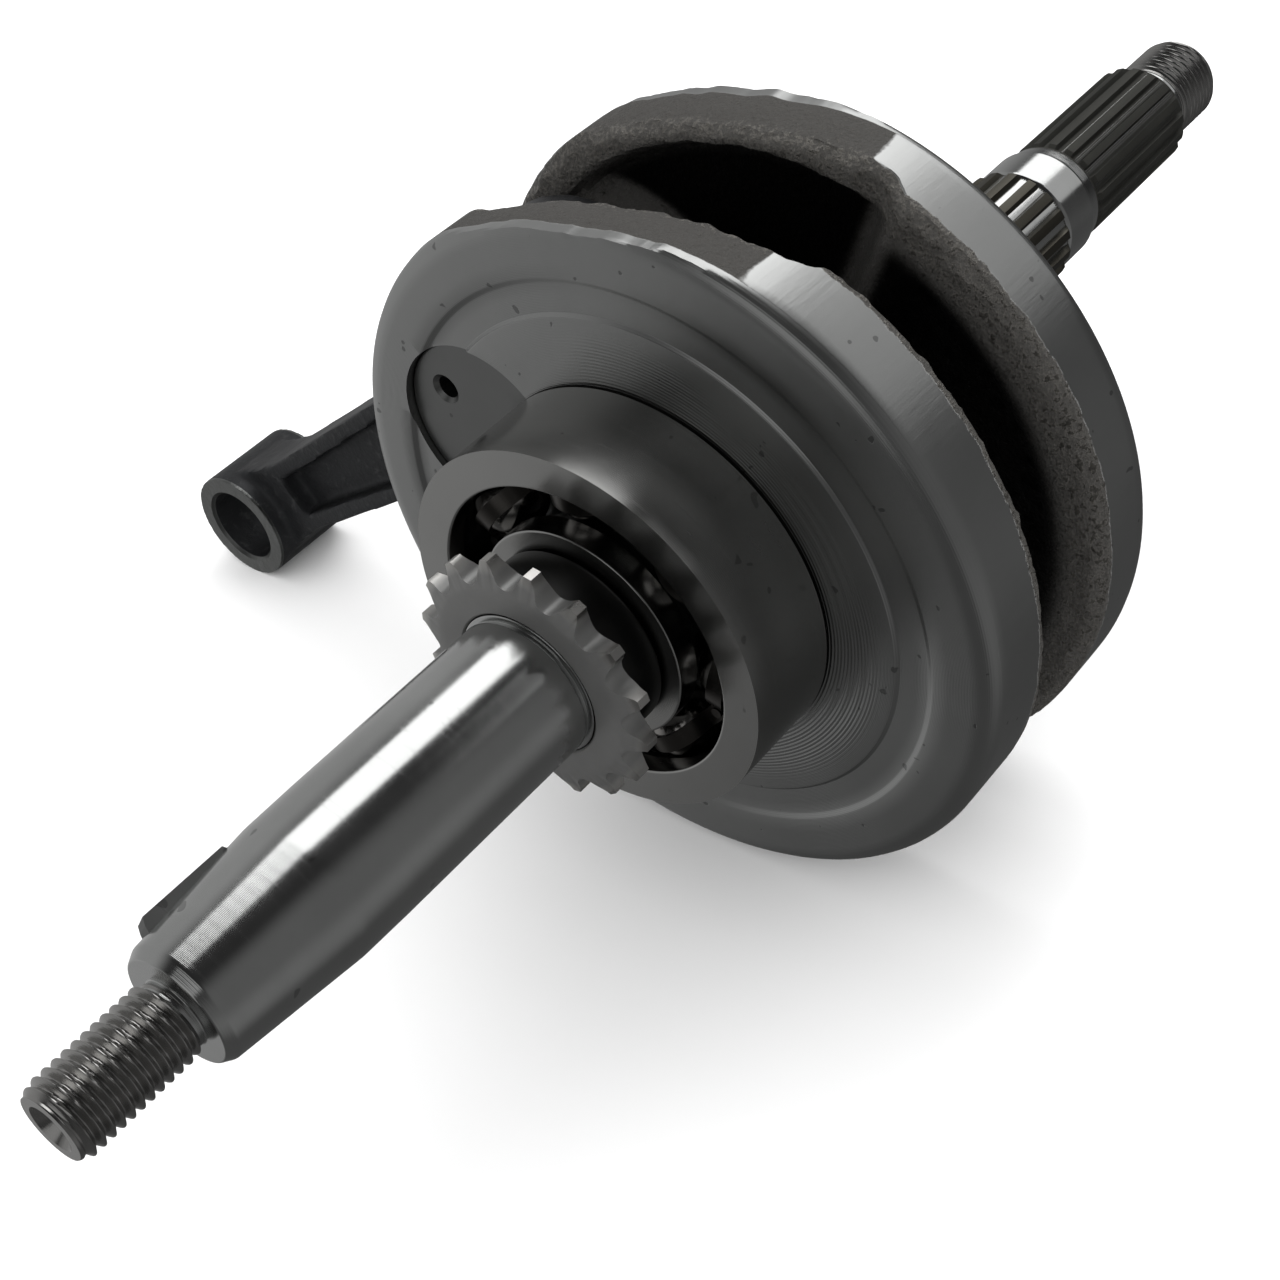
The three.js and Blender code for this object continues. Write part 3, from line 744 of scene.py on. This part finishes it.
def web_mesh(name, side, face, sizes):
    """A flywheel disc as rings: the outer face with its steps, the rim, then the formed inner face."""
    facets = sizes.web_facets
    inner, outer = STEP_INNER_R, STEP_OUTER_R
    stepped = [
        (0.5, 0), (24, 0), (36, 0), (inner - 0.6, 0), (inner - 0.2, 0.05), (inner, 0.25), (inner + 0.3, 0.5),
        (45, 0.5), (outer - 0.8, 0.5), (outer - 0.4, 0.4), (outer, 0.12), (outer + 0.4, 0), (50.4, 0),
    ]
    corner = [(3.6, 0), (2.6, 0.04), (1.9, 0.18), (1.2, 0.5), (0.6, 1.05), (0.2, 1.8), (0.02, 2.6)]
    inwards = [0.0, 0.15, 0.35, 0.6, 0.95, 1.4, 1.9] + [2.5 + i * 0.85 for i in range(61)]
    rings = [("face", r, drop) for r, drop in stepped]
    rings += [("face", RIM_R - inset, drop) for inset, drop in corner]
    rings += [("rim", share, 0) for share in (0.12, 0.24, 0.36, 0.48, 0.6, 0.7, 0.8, 0.88, 0.94, 0.98)]
    rings += [("inside", inset, 0) for inset in inwards]
    angles = [i * TURN / facets for i in range(facets)]
    places = [web_point(ring, a, side, face, sizes.forged_grain) for ring in rings for a in angles]
    faces = strips(len(rings), facets)
    faces.append(tuple(reversed(range(facets))))
    faces.append(tuple((len(rings) - 1) * facets + j for j in range(facets)))
    return mesh_of(name, places, faces)


def forged_waves(place, grain):
    """Lumps and fine grain of a forged skin at a place in millimetres."""
    broad = noise.fractal(place * 0.13, 0.8, 2.0, 3)
    fine = noise.fractal(place * 0.5, 0.8, 2.2, 4)
    return grain * (fine + 0.7 * broad)


def web_point(ring, angle, side, face, grain):
    """A point of a flywheel: on its turned face, across its rim, or on its formed inner face."""
    kind, value, drop = ring
    direction = angle + THROW_ANGLE
    seed = Vector((side * 3.1, math.cos(direction) * 8, math.sin(direction) * 8))
    edge = rim_radius(angle, noise.fractal(seed, 0.9, 2.1, 4))
    forged = smoothstep(RIM_R - edge, 0.1, 0.5)
    if kind == "face":
        radius, depth = min(value, edge), face - drop
    elif kind == "rim":
        inner = inner_depth(edge * math.cos(angle), edge * math.sin(angle), edge, edge)
        depth = face - RIM_CORNER + (inner - face + RIM_CORNER) * value
        radius = edge - RIM_LEAN * forged * value**2
    else:
        radius = max(0.4, edge - value)
        throw, across = radius * math.cos(angle), radius * math.sin(angle)
        depth = inner_depth(throw, across, radius, edge)
        radius -= RIM_LEAN * forged * max(0.0, 1 - value / 4)
    here = Vector((radius * math.cos(angle), radius * math.sin(angle), side * 40 + depth))
    if kind == "inside":
        lumps = smoothstep(radius, POCKET_EDGE_R - 2, edge - 1) * (1 + 1.6 * noise.noise(here * 0.24))
        depth += forged_waves(here, grain) * (1 + FORGED_LUMP * lumps)
    elif kind == "rim":
        depth += forged_waves(here, grain) * smoothstep(value, 0.85, 1) * 2
        radius += forged_waves(here, grain) * forged
    y, z = radius * math.cos(direction), radius * math.sin(direction)
    return (side * depth * MM, y * MM, z * MM)


def pin_hole_tool(low, high):
    line = [(low, 0), (low, PIN_HOLE_R), (high, PIN_HOLE_R), (high, 0)]
    return turned_piece("hole_tool", line, 128, (PIN_PLACE.y, PIN_PLACE.z))


def left_shaft_profile():
    seat = SPROCKET_LOW.x
    seat_back = seat + SEAT_LENGTH
    return [
        (NOSE - 1.7, 0), (NOSE - 1.7, NECK_R - 0.1, 0.1), (NOSE, NECK_R, 0.2), (NOSE, 8.4, 0.2),
        (TAPER_END, TAPER_SMALL_R, 0.3), (TAPER_START, TAPER_LARGE_R, 0.6), (TAPER_START + 9, SHAFT_R, 0.2),
        (seat - 0.9, SHAFT_R, 0.2), (seat - 0.6, UNDERCUT_R, 0.1), (seat - 0.1, UNDERCUT_R, 0.1),
        (seat, SEAT_R, 0.2), (seat_back, SEAT_R, 0.2), (seat_back + 0.1, JOURNAL_R, 0.2),
        (SHOULDER_AT, JOURNAL_R, 0.2), (SHOULDER_AT, SHOULDER_R, 0.4), (-FACE_LEFT + 0.4, 18.0, 0.2),
        (-20, 18.0), (-20, 0),
    ]


def right_shaft_profile():
    return [
        (18, 0), (18, 18), (BOSS_END, 18, 0.5), (BOSS_END, RIGHT_JOURNAL_R, 0.3),
        (JOURNAL_END, RIGHT_JOURNAL_R, 0.4), (40.7, PLAIN_R, 0.2), (PLAIN_END, PLAIN_R, 0.4),
        (SHORT_SPLINES[0], 10.2, 0.2), (83.6, 10.1), (RING_START, PLAIN_RING_R, 0.3),
        (RING_END, PLAIN_RING_R, 0.3), (92.4, 10.1, 0.2), (95, 9.8, 0.3), (95.4, 8.8, 0.2),
        (129, 8.8, 0.5), (130, RIGHT_NECK_R, 0.3), (132.2, RIGHT_NECK_R, 0.2), (132.2, 0),
    ]


class CRANK_OT_flywheels(bpy.types.Operator):
    """Both flywheels with their shafts, threads and splines"""

    bl_idname = "crank.flywheels"
    bl_label = "Flywheels and shafts"

    def execute(self, context):
        sizes = context.scene.crank_sizes
        bars = wave_tree()
        polished = turned_finish("Ground shaft", shade(sizes.steel, 1.25), 0.17)
        thread = turned_finish("Thread steel", (0.4, 0.395, 0.385), 0.24, stain=0.35)
        splined = worn_edge_finish(
            "Phosphated splines", sizes.phosphate, (0.085, 0.08, 0.066), 9.7, 10.9, 0.58
        )
        for side, label, face in ((-1, "left", FACE_LEFT), (1, "right", FACE_RIGHT)):
            node = f"{label}_flywheel"
            web = finished(f"{label}_web", web_mesh(node, side, face, sizes))
            tool = pin_hole_tool(*sorted((side * 5, side * 30)))
            web = resharpened(cut(web, [tool]))
            finish = flywheel_finish(sizes, f"Flywheel {label}", face)
            dressed(web, finish, "crank", "machined_steel", node)
        shaft = turned_piece("left_shaft", left_shaft_profile(), sizes.shaft_facets)
        dressed(cut_keyway(shaft), polished, "crank", "machined_steel")
        turns = (THREAD_STOP - LEFT_END) / sizes.left_pitch
        common = {"Count": 1.0, "Crest": 0.1, "Flank": 0.78, "Around": 73}
        nut = grown(
            "left_thread", bars, Start=LEFT_END * MM, End=THREAD_STOP * MM, Radius=THREAD_R * MM,
            Depth=0.9 * MM,
            Turns=-turns, Run_Out=1.6 * MM, Along=190, Material=thread, **common,
        )
        mouth, root = LEFT_END - 1, LEFT_END + 4.5
        drill = [(mouth, 0), (mouth, 4.4), (LEFT_END + 2.4, 1.5), (root, 1.4), (root, 0)]
        nut = resharpened(cut(nut, [turned_piece("drill_tool", drill, 48)]))
        dressed(nut, thread, "crank", "machined_steel")
        shaft = turned_piece("right_shaft", right_shaft_profile(), sizes.shaft_facets)
        dressed(shaft, polished, "crank", "machined_steel")
        turns = (RIGHT_END - RIGHT_THREAD_START) / sizes.right_pitch
        nut = grown(
            "right_thread", bars, Start=RIGHT_THREAD_START * MM, End=RIGHT_END * MM,
            Radius=RIGHT_THREAD_R * MM, Depth=0.7 * MM,
            Turns=-turns, Run_Out=1.2 * MM, Along=150, Material=thread, **common,
        )
        dressed(nut, thread, "crank", "machined_steel")
        for name, (start, end), r in (
            ("short_splines", SHORT_SPLINES, SHORT_SPLINES_R), ("long_splines", LONG_SPLINES, LONG_SPLINES_R),
        ):
            bar = grown(
                name, bars, Start=start * MM, End=end * MM, Radius=r * MM, Depth=1.0 * MM,
                Count=float(sizes.splines), Turns=0.0, Crest=0.42, Flank=0.2, Run_Out=0.8 * MM,
                Along=26, Around=sizes.splines * 20 + 1, Material=splined,
            )
            dressed(bar, splined, "crank", "machined_steel")
        collar = [(92.3, 0), (92.3, 9.9, 0.2), (95.3, 9.8, 0.2), (95.3, 0)]
        dressed(turned_piece("spline_collar", collar, 128), splined, "crank", "machined_steel")
        return {"FINISHED"}


def cut_keyway(shaft):
    """A round-bottomed slot in the taper, a little larger than its key."""
    half, r = KEY_HALF + KEY_ROOM, KEY_R + KEY_ROOM
    disc = turned_piece("key_tool", [(-half, 0), (-half, r), (half, r), (half, 0)], 64)
    lean = Matrix.Rotation(KEY_ANGLE, 4, "X")
    out = Matrix.Translation(Vector((KEY_X, KEY_CENTRE, 0)) * MM)
    disc.data.transform(lean @ out @ Matrix.Rotation(math.pi / 2, 4, "Y"))
    return resharpened(cut(shaft, [disc]))


class CRANK_OT_pin(bpy.types.Operator):
    """The crank pin with its oil hole, the thrust washers and the gallery plug"""

    bl_idname = "crank.pin"
    bl_label = "Crank pin"

    def execute(self, context):
        sizes = context.scene.crank_sizes
        centre = (PIN_PLACE.y, PIN_PLACE.z)
        line = [(PIN_LOW.x, 0), (PIN_LOW.x, PIN_R, 0.4), (PIN_HIGH.x, PIN_R, 0.4), (PIN_HIGH.x, 0)]
        pin = turned_piece("crank_pin_fine", line, 128, centre)
        out = THROW_ANGLE + OIL_HOLE_TURN
        hole_at = (centre[0] + OIL_HOLE_OUT * math.cos(out), centre[1] + OIL_HOLE_OUT * math.sin(out))
        hole = [
            (-30, 0), (-30, 2.9), (PIN_LOW.x - 0.01, 2.6), (PIN_LOW.x + 0.7, OIL_HOLE_R), (2, OIL_HOLE_R),
            (2, 0),
        ]
        gallery = [(0, 0), (0, GALLERY_R), (PIN_HIGH.x + 1, GALLERY_R), (PIN_HIGH.x + 1, 0)]
        tools = [
            turned_piece("oil_tool", hole, 48, hole_at), turned_piece("gallery_tool", gallery, 48, centre),
        ]
        pin = resharpened(cut(pin, tools))
        finish = turned_finish("Pin end", shade(sizes.steel, 0.62), 0.4, 0.3, 0.006)
        dressed(pin, finish, "crank", "ground_steel", "crank_pin")
        near, far = PLUG_X
        plug = [(near, 0), (near, PLUG_R), (far, PLUG_R, 0.4), (far, 0)]
        plug = turned_piece("gallery_plug_fine", plug, 64, centre)
        dressed(plug, finish, "crank", "ground_steel", "pin_gallery_plug")
        for side, label in ((-1, "left"), (1, "right")):
            a, b = sorted(side * x for x in WASHER_X)
            line = [
                (a, WASHER_INNER_R, 0.1), (a, WASHER_OUTER_R, 0.2), (b, WASHER_OUTER_R, 0.2),
                (b, WASHER_INNER_R, 0.1),
            ]
            washer = turned_piece(f"thrust_washer_{label}_fine", line, 96, centre, closed=True)
            dressed(washer, finish, "crank", "ground_steel", f"thrust_washer_{label}")
        key = frame["nodes"]["woodruff_key"]
        key.data.materials.clear()
        key.data.materials.append(turned_finish("Key steel", shade(sizes.steel, 0.5), 0.5, 30.0, 0.03))
        return {"FINISHED"}


# ---- bearings


def race_profile(plain, land, edge):
    """A ring with its ball groove, from one side face to the other."""
    x0, x1 = RING_LOW.x, RING_HIGH.x
    half = math.acos(abs(land - BALL_CIRCLE_R) / RACE_R)
    groove = []
    for i in range(RACE_STEPS + 1):
        angle = -half + 2 * half * i / RACE_STEPS
        r = BALL_CIRCLE_R + math.copysign(RACE_R * math.cos(angle), land - BALL_CIRCLE_R)
        groove.append(((x0 + x1) / 2 + RACE_R * math.sin(angle), r))
    return [(x0, plain, edge), (x0, land, 0.35)] + groove + [(x1, land, 0.35), (x1, plain, edge)]


class CRANK_OT_main_bearing(bpy.types.Operator):
    """The main ball bearing: rings, balls, cage and rivets"""

    bl_idname = "crank.main_bearing"
    bl_label = "Main bearing"

    def execute(self, context):
        sizes = context.scene.bearing_sizes
        bright = turned_finish("Bearing steel", sizes.polish, 0.22, 0.3, 0.002, 0.12)
        mirror = turned_finish("Ball steel", (0.3, 0.29, 0.28), 0.14, 0.9, 0.0005, 0.06)
        sheet = turned_finish("Cage steel", (0.085, 0.08, 0.074), 0.32, 0.5, 0.004, 0.2)
        outer_line = race_profile(BEARING_R, OUTER_LAND_R, 2.2)
        outer = turned_piece("outer_ring_fine", outer_line, 256, closed=True)
        dressed(outer, bright, "outer_ring", "bearing_steel", "bearing_outer_ring")
        inner_line = race_profile(INNER_BORE_R, INNER_LAND_R, 0.8)
        inner = turned_piece("inner_ring_fine", inner_line, 192, closed=True)
        dressed(inner, bright, "crank", "bearing_steel", "bearing_inner_ring")
        copies = copies_tree()
        first = THROW_ANGLE + math.radians(90 / sizes.balls)
        balls = grown(
            "bearing_balls", copies, Count=sizes.balls, Circle=BALL_CIRCLE_R * MM,
            Radius=sizes.ball_r * MM, Length=0.01, Round=True, Material=mirror,
        )
        nodes = [f"bearing_ball_{i + 1}" for i in range(sizes.balls)]
        dressed(upright(balls, BALL_PLACE, first), mirror, "ball_set", "bearing_steel", *nodes)
        rivets = grown(
            "cage_rivets", copies, Count=sizes.balls, Circle=BALL_CIRCLE_R * MM, Radius=RIVET_R * MM,
            Length=RIVET_LENGTH * MM, Round=False, Material=sheet,
        )
        nodes = [f"cage_rivet_{i + 1}" for i in range(sizes.balls)]
        rivets = upright(rivets, BALL_PLACE, first + math.pi / sizes.balls)
        dressed(rivets, sheet, "ball_set", "cage_steel", *nodes)
        for side, label in ((-1, "front"), (1, "back")):
            ribbon = finished(f"ball_cage_{label}_fine", cage_mesh(side, sizes, first))
            dressed(ribbon, sheet, "ball_set", "cage_steel", f"ball_cage_{label}")
        return {"FINISHED"}


def cage_mesh(side, sizes, first):
    """A pressed ribbon that wraps each ball and lies flat between them."""
    around = 420
    points = []
    pocket_r = sizes.ball_r + 0.35
    for i in range(around):
        angle = i * TURN / around
        beyond = (angle * sizes.balls / TURN + 0.5) % 1 - 0.5
        arc = beyond * TURN / sizes.balls * BALL_CIRCLE_R
        wrap = math.sqrt(max(0.0, pocket_r**2 - arc**2))
        depth = max(0.25, wrap - 0.6 if wrap > 0 else 0.25)
        back = depth + CAGE_THICK
        corners = ((depth, CAGE_LOW_R), (depth, CAGE_HIGH_R), (back, CAGE_HIGH_R), (back, CAGE_LOW_R))
        turn = angle + first
        points += [
            (BALL_PLACE.x + side * d, r * math.cos(turn), r * math.sin(turn)) for d, r in corners
        ]
    return mesh_of("cage", np.array(points) * MM, strips(around, 4, closed=True))


class CRANK_OT_big_end(bpy.types.Operator):
    """The big-end needle rollers and their cage"""

    bl_idname = "crank.big_end"
    bl_label = "Big-end bearing"

    def execute(self, context):
        sizes = context.scene.bearing_sizes
        bright = turned_finish("Needle steel", sizes.polish, 0.2, 0.4, 0.002)
        copper = turned_finish("Needle cage", (0.4, 0.27, 0.17), 0.34, 0.4, 0.004)
        needles = grown(
            "needle_rollers", copies_tree(), Count=sizes.needles, Circle=NEEDLE_CIRCLE_R * MM,
            Radius=sizes.needle_r * MM, Length=NEEDLE_LENGTH * MM, Round=False, Material=bright,
        )
        nodes = [f"needle_roller_{i + 1}" for i in range(sizes.needles)]
        dressed(upright(needles, PIN_PLACE, ROD_ANGLE), bright, "big_end_cage", "bearing_steel", *nodes)
        cage = frame["nodes"]["needle_cage"]
        cage.data.materials.clear()
        cage.data.materials.append(copper)
        return {"FINISHED"}


# ---- sprocket


def tooth_outline(angle, sizes):
    """Radius at an angle: a round seat for the chain's roller, straight flanks and a narrow flat tip."""
    pitches = angle * sizes.teeth / TURN
    off_tip = abs(pitches - round(pitches))
    pitch = TURN * TIP_R / sizes.teeth
    across = (0.5 - off_tip) * pitch
    if across < ROLLER_SEAT_END:
        return sizes.root_r + ROLLER_SEAT_R - math.sqrt(ROLLER_SEAT_R**2 - across**2)
    seat_top = sizes.root_r + ROLLER_SEAT_R - math.sqrt(ROLLER_SEAT_R**2 - ROLLER_SEAT_END**2)
    share = min(1.0, (across - ROLLER_SEAT_END) / (pitch / 2 - TIP_HALF - ROLLER_SEAT_END))
    return seat_top + (TIP_R - seat_top) * share


def sprocket_mesh(sizes):
    """The toothed plate: rings at a radius, or on the teeth where the radius is None."""
    x0, x1 = SPROCKET_LOW.x, SPROCKET_LOW.x + TOOTH_WIDTH
    around = sizes.teeth * 48
    phase = THROW_ANGLE - math.radians(13.8)
    side = [(SPROCKET_BORE_R, 0.2), (12.2, 0), (COLLAR_R, 0), (16.0, 0.02), (16.7, 0.08), (None, 0.95)]
    stations = [(x0, 1, *ring) for ring in side] + [(x1, -1, *ring) for ring in reversed(side)]
    points = []
    for x, inwards, r, inset in stations:
        for i in range(around):
            angle = i * TURN / around
            radius, lean = r, inset
            if r is None:
                radius = tooth_outline(angle, sizes)
                lean = inset * (smoothstep(radius, sizes.root_r, TIP_R) * 0.85 + 0.15)
            turn = angle + phase
            points.append((x + inwards * lean, radius * math.cos(turn), radius * math.sin(turn)))
    return mesh_of("sprocket", np.array(points) * MM, strips(len(stations), around, closed=True))


class CRANK_OT_sprocket(bpy.types.Operator):
    """The timing sprocket and the collar behind its teeth"""

    bl_idname = "crank.sprocket"
    bl_label = "Timing sprocket"

    def execute(self, context):
        sizes = context.scene.sprocket_sizes
        finish = worn_edge_finish("Sprocket steel", sizes.colour, (0.55, 0.54, 0.52), 18.2, 20.4)
        wheel = finished("sprocket_fine", sprocket_mesh(sizes))
        dressed(wheel, finish, "crank", "sprocket_steel", "timing_sprocket")
        x0, x1 = SPROCKET_LOW.x + 3.6, SPROCKET_HIGH.x
        line = [(x0, SPROCKET_BORE_R), (x0, COLLAR_R, 0.3), (x1, COLLAR_R, 0.8), (x1, SPROCKET_BORE_R)]
        collar = turned_piece("sprocket_collar", line, 160, closed=True)
        dark = turned_finish("Collar steel", shade(sizes.colour, 0.35), 0.34, 0.3, 0.004)
        dressed(collar, dark, "crank", "sprocket_steel")
        return {"FINISHED"}


# ---- connecting rod


def slab(name, outline, x0, x1):
    count = len(outline)
    points = [(x * MM, y * MM, z * MM) for x in (x0, x1) for y, z in outline]
    faces = [tuple(reversed(range(count))), tuple(count + i for i in range(count))]
    faces += [(i, (i + 1) % count, count + (i + 1) % count, count + i) for i in range(count)]
    return finished(name, mesh_of(name, points, faces))


def slab_pair(name, outline, inner, outer):
    """The same slab on both sides of the middle plane."""
    return [slab(name + "_a", outline, inner, outer), slab(name + "_b", outline, -outer, -inner)]


def block_outline(start, stop):
    return [(start, -40), (stop, -40), (stop, 40), (start, 40)]


def round_blank(name, half, r, facets, centre=(0.0, 0.0)):
    return turned_piece(name, [(-half, 0), (-half, r), (half, r), (half, 0)], facets, centre)


def beam_outline(inset, start, stop, flare):
    """The I-beam's side view, with its width running out into the big end."""
    upper = []
    for i in range(BEAM_STEPS + 1):
        s = i / BEAM_STEPS
        big_flare = flare * max(0.0, 1 - s * 6) ** 2
        small_flare = flare * 0.5 * max(0.0, s * 6 - 5) ** 2
        width = BEAM_WIDE + (BEAM_NARROW - BEAM_WIDE) * s + big_flare + small_flare
        upper.append((start + (stop - start) * s, width - inset))
    return upper + [(y, -z) for y, z in reversed(upper)]


def remeshed(piece, voxel, rounds):
    """The piece as one rounded skin, like a forging."""
    remesh = piece.modifiers.new("Skin", "REMESH")
    remesh.mode, remesh.voxel_size = "VOXEL", voxel * MM
    relax = piece.modifiers.new("Relax", "SMOOTH")
    relax.factor, relax.iterations = 0.5, rounds
    mesh = applied(piece)
    piece.modifiers.clear()
    piece.data = mesh
    return piece


class CRANK_OT_rod(bpy.types.Operator):
    """The forged connecting rod with its machined ends"""

    bl_idname = "crank.rod"
    bl_label = "Connecting rod"

    def execute(self, context):
        sizes = context.scene.rod_sizes
        end = (ROD_LENGTH, 0.0)
        channel = beam_outline(CHANNEL_INSET, 28, ROD_LENGTH - 18, 0.5)
        beam = slab("beam", beam_outline(0, 16, ROD_LENGTH - 6, 5), -BEAM_HALF, BEAM_HALF)
        cut(beam, slab_pair("channel", channel, CHANNEL_FLOOR, 9))
        ends = [round_blank("big", 9.6, BIG_END_R, 128), round_blank("small", 10, SMALL_END_R, 96, end)]
        cut(beam, ends, "UNION")
        rod = remeshed(beam, sizes.voxel, 5)
        tools = slab_pair("near", block_outline(-30, FACE_SPLIT), BIG_FACE, 14)
        tools += slab_pair("far", block_outline(FACE_SPLIT, ROD_LENGTH + 30), SMALL_FACE, 14)
        tools += [
            turned_piece("big_bore", bore_line(BIG_FACE, BIG_BORE_R), 128),
            turned_piece("small_bore", bore_line(SMALL_FACE, SMALL_BORE_R), 96, end),
        ]
        rod = cut(rod, tools)
        rod.name = "connecting_rod_fine"
        rod = resharpened(rod, 40)
        turn = Matrix.Rotation(ROD_ANGLE, 4, "X")
        rod.data.transform(Matrix.Translation(PIN_PLACE * MM) @ turn)
        finish = skin_finish("Rod skin", sizes.skin, (0.09, 0.09, 0.09), (0.2, 0.205, 0.2))
        dressed(rod, finish, "rod", "forged_steel", "connecting_rod")
        return {"FINISHED"}


def bore_line(face, r):
    """A bore with a small chamfer at both faces."""
    wide = r + BORE_CHAMFER
    return [
        (-face - 3, 0), (-face - 3, wide), (-face, wide), (-face + BORE_CHAMFER, r),
        (face - BORE_CHAMFER, r), (face, wide), (face + 3, wide), (face + 3, 0),
    ]


# ---- stage


def add_light(name, place, width, depth, power):
    lamp = bpy.data.lights.new(name, "AREA")
    lamp.energy, lamp.size, lamp.shape = power, width, "RECTANGLE"
    lamp.size_y = depth
    made = bpy.data.objects.new(name, lamp)
    bpy.context.scene.collection.objects.link(made)
    made.location = Vector(place) * MM
    back = (Vector(place) - LIGHT_AIM).normalized()
    up = back.cross(Vector((1, 0, 0))).normalized()
    turn = Matrix((up.cross(back), up, back)).transposed()
    made.rotation_euler = turn.to_euler()


def studio_world():
    """Pale to look at; in the metal, dark on one side and brighter on the other."""
    world = bpy.data.worlds.new("Studio")
    bpy.context.scene.world = world
    world.use_nodes = True
    t = Tree(world.node_tree)
    background = t.nodes["Background"]
    direction = t.out(t.node("ShaderNodeTexCoord"), "Generated")
    parts = t.node("ShaderNodeSeparateXYZ", None, i0=direction)
    sideways, height = t.out(parts, 1), t.out(parts, 2)
    glow = t.smooth(sideways, 0.34, 0.8) * 0.36 + t.smooth(0.0 - sideways, 0.5, 0.85) * 0.12
    glow = glow + t.smooth(0.0 - height, -0.05, 0.4) * 0.06 + 0.03
    path = t.node("ShaderNodeLightPath")
    seen, spread = t.out(path, "Is Camera Ray"), t.out(path, "Is Diffuse Ray")
    t.feed(background.inputs["Strength"], seen * 0.93 + spread * 1.5 + (1.0 - seen - spread) * glow)
    background.inputs["Color"].default_value = (1, 1, 1, 1)


class CRANK_OT_stage(bpy.types.Operator):
    """Floor, camera and lights"""

    bl_idname = "crank.stage"
    bl_label = "Stage"

    def execute(self, context):
        settings = context.scene.stage_settings
        half, floor_z = FLOOR_HALF, CAD_BOX[0].z / MM
        corners = [(-half, -half), (half, -half), (half, half), (-half, half)]
        mesh = mesh_of("floor", np.array([(x, y, floor_z) for x, y in corners]) * MM, [(0, 1, 2, 3)])
        floor = bpy.data.objects.new("floor", mesh)
        context.scene.collection.objects.link(floor)
        floor.data.materials.append(plain_finish("Floor", (0.86, 0.86, 0.86)))
        floor.visible_glossy = False
        lens = bpy.data.cameras.new("camera")
        camera = bpy.data.objects.new("camera", lens)
        context.scene.collection.objects.link(camera)
        lens.lens, lens.sensor_width = settings.lens, 36
        lens.clip_start, lens.clip_end = 0.01, 20
        back, up = -CAMERA_LOOK.normalized(), CAMERA_UP.normalized()
        right = up.cross(back).normalized()
        turn = Matrix((right, back.cross(right), back)).transposed().to_4x4()
        camera.matrix_world = Matrix.Translation(CAMERA_PLACE * MM) @ turn
        bpy.context.scene.camera = camera
        for name, (place, width, depth, share) in LIGHTS.items():
            add_light(name, place, width, depth, settings.key * share)
        studio_world()
        context.scene.view_settings.view_transform = "Standard"
        return {"FINISHED"}


# ---- add-on


OPERATORS = (
    CRANK_OT_flywheels,
    CRANK_OT_pin,
    CRANK_OT_main_bearing,
    CRANK_OT_big_end,
    CRANK_OT_sprocket,
    CRANK_OT_rod,
    CRANK_OT_stage,
)


class CRANK_PT_panel(bpy.types.Panel):
    """Lists the steps that build the crankshaft"""

    bl_idname = "CRANK_PT_panel"
    bl_label = "Crankshaft"
    bl_space_type = "VIEW_3D"
    bl_region_type = "UI"
    bl_category = "Crankshaft"

    def draw(self, context):
        for step in OPERATORS:
            self.layout.operator(step.bl_idname)


GROUPS = {
    "crank_sizes": CrankSizes,
    "bearing_sizes": BearingSizes,
    "sprocket_sizes": SprocketSizes,
    "rod_sizes": RodSizes,
    "stage_settings": StageSettings,
}


def register():
    for name, group in GROUPS.items():
        bpy.utils.register_class(group)
        setattr(bpy.types.Scene, name, PointerProperty(type=group))
    for cls in (*OPERATORS, CRANK_PT_panel):
        bpy.utils.register_class(cls)


def unregister():
    for cls in reversed((*OPERATORS, CRANK_PT_panel)):
        bpy.utils.unregister_class(cls)
    for name, group in GROUPS.items():
        delattr(bpy.types.Scene, name)
        bpy.utils.unregister_class(group)


def main():
    register()
    bpy.ops.crank.flywheels()
    bpy.ops.crank.pin()
    bpy.ops.crank.main_bearing()
    bpy.ops.crank.big_end()
    bpy.ops.crank.sprocket()
    bpy.ops.crank.rod()
    bpy.ops.crank.stage()


if __name__ == "__main__":
    main()
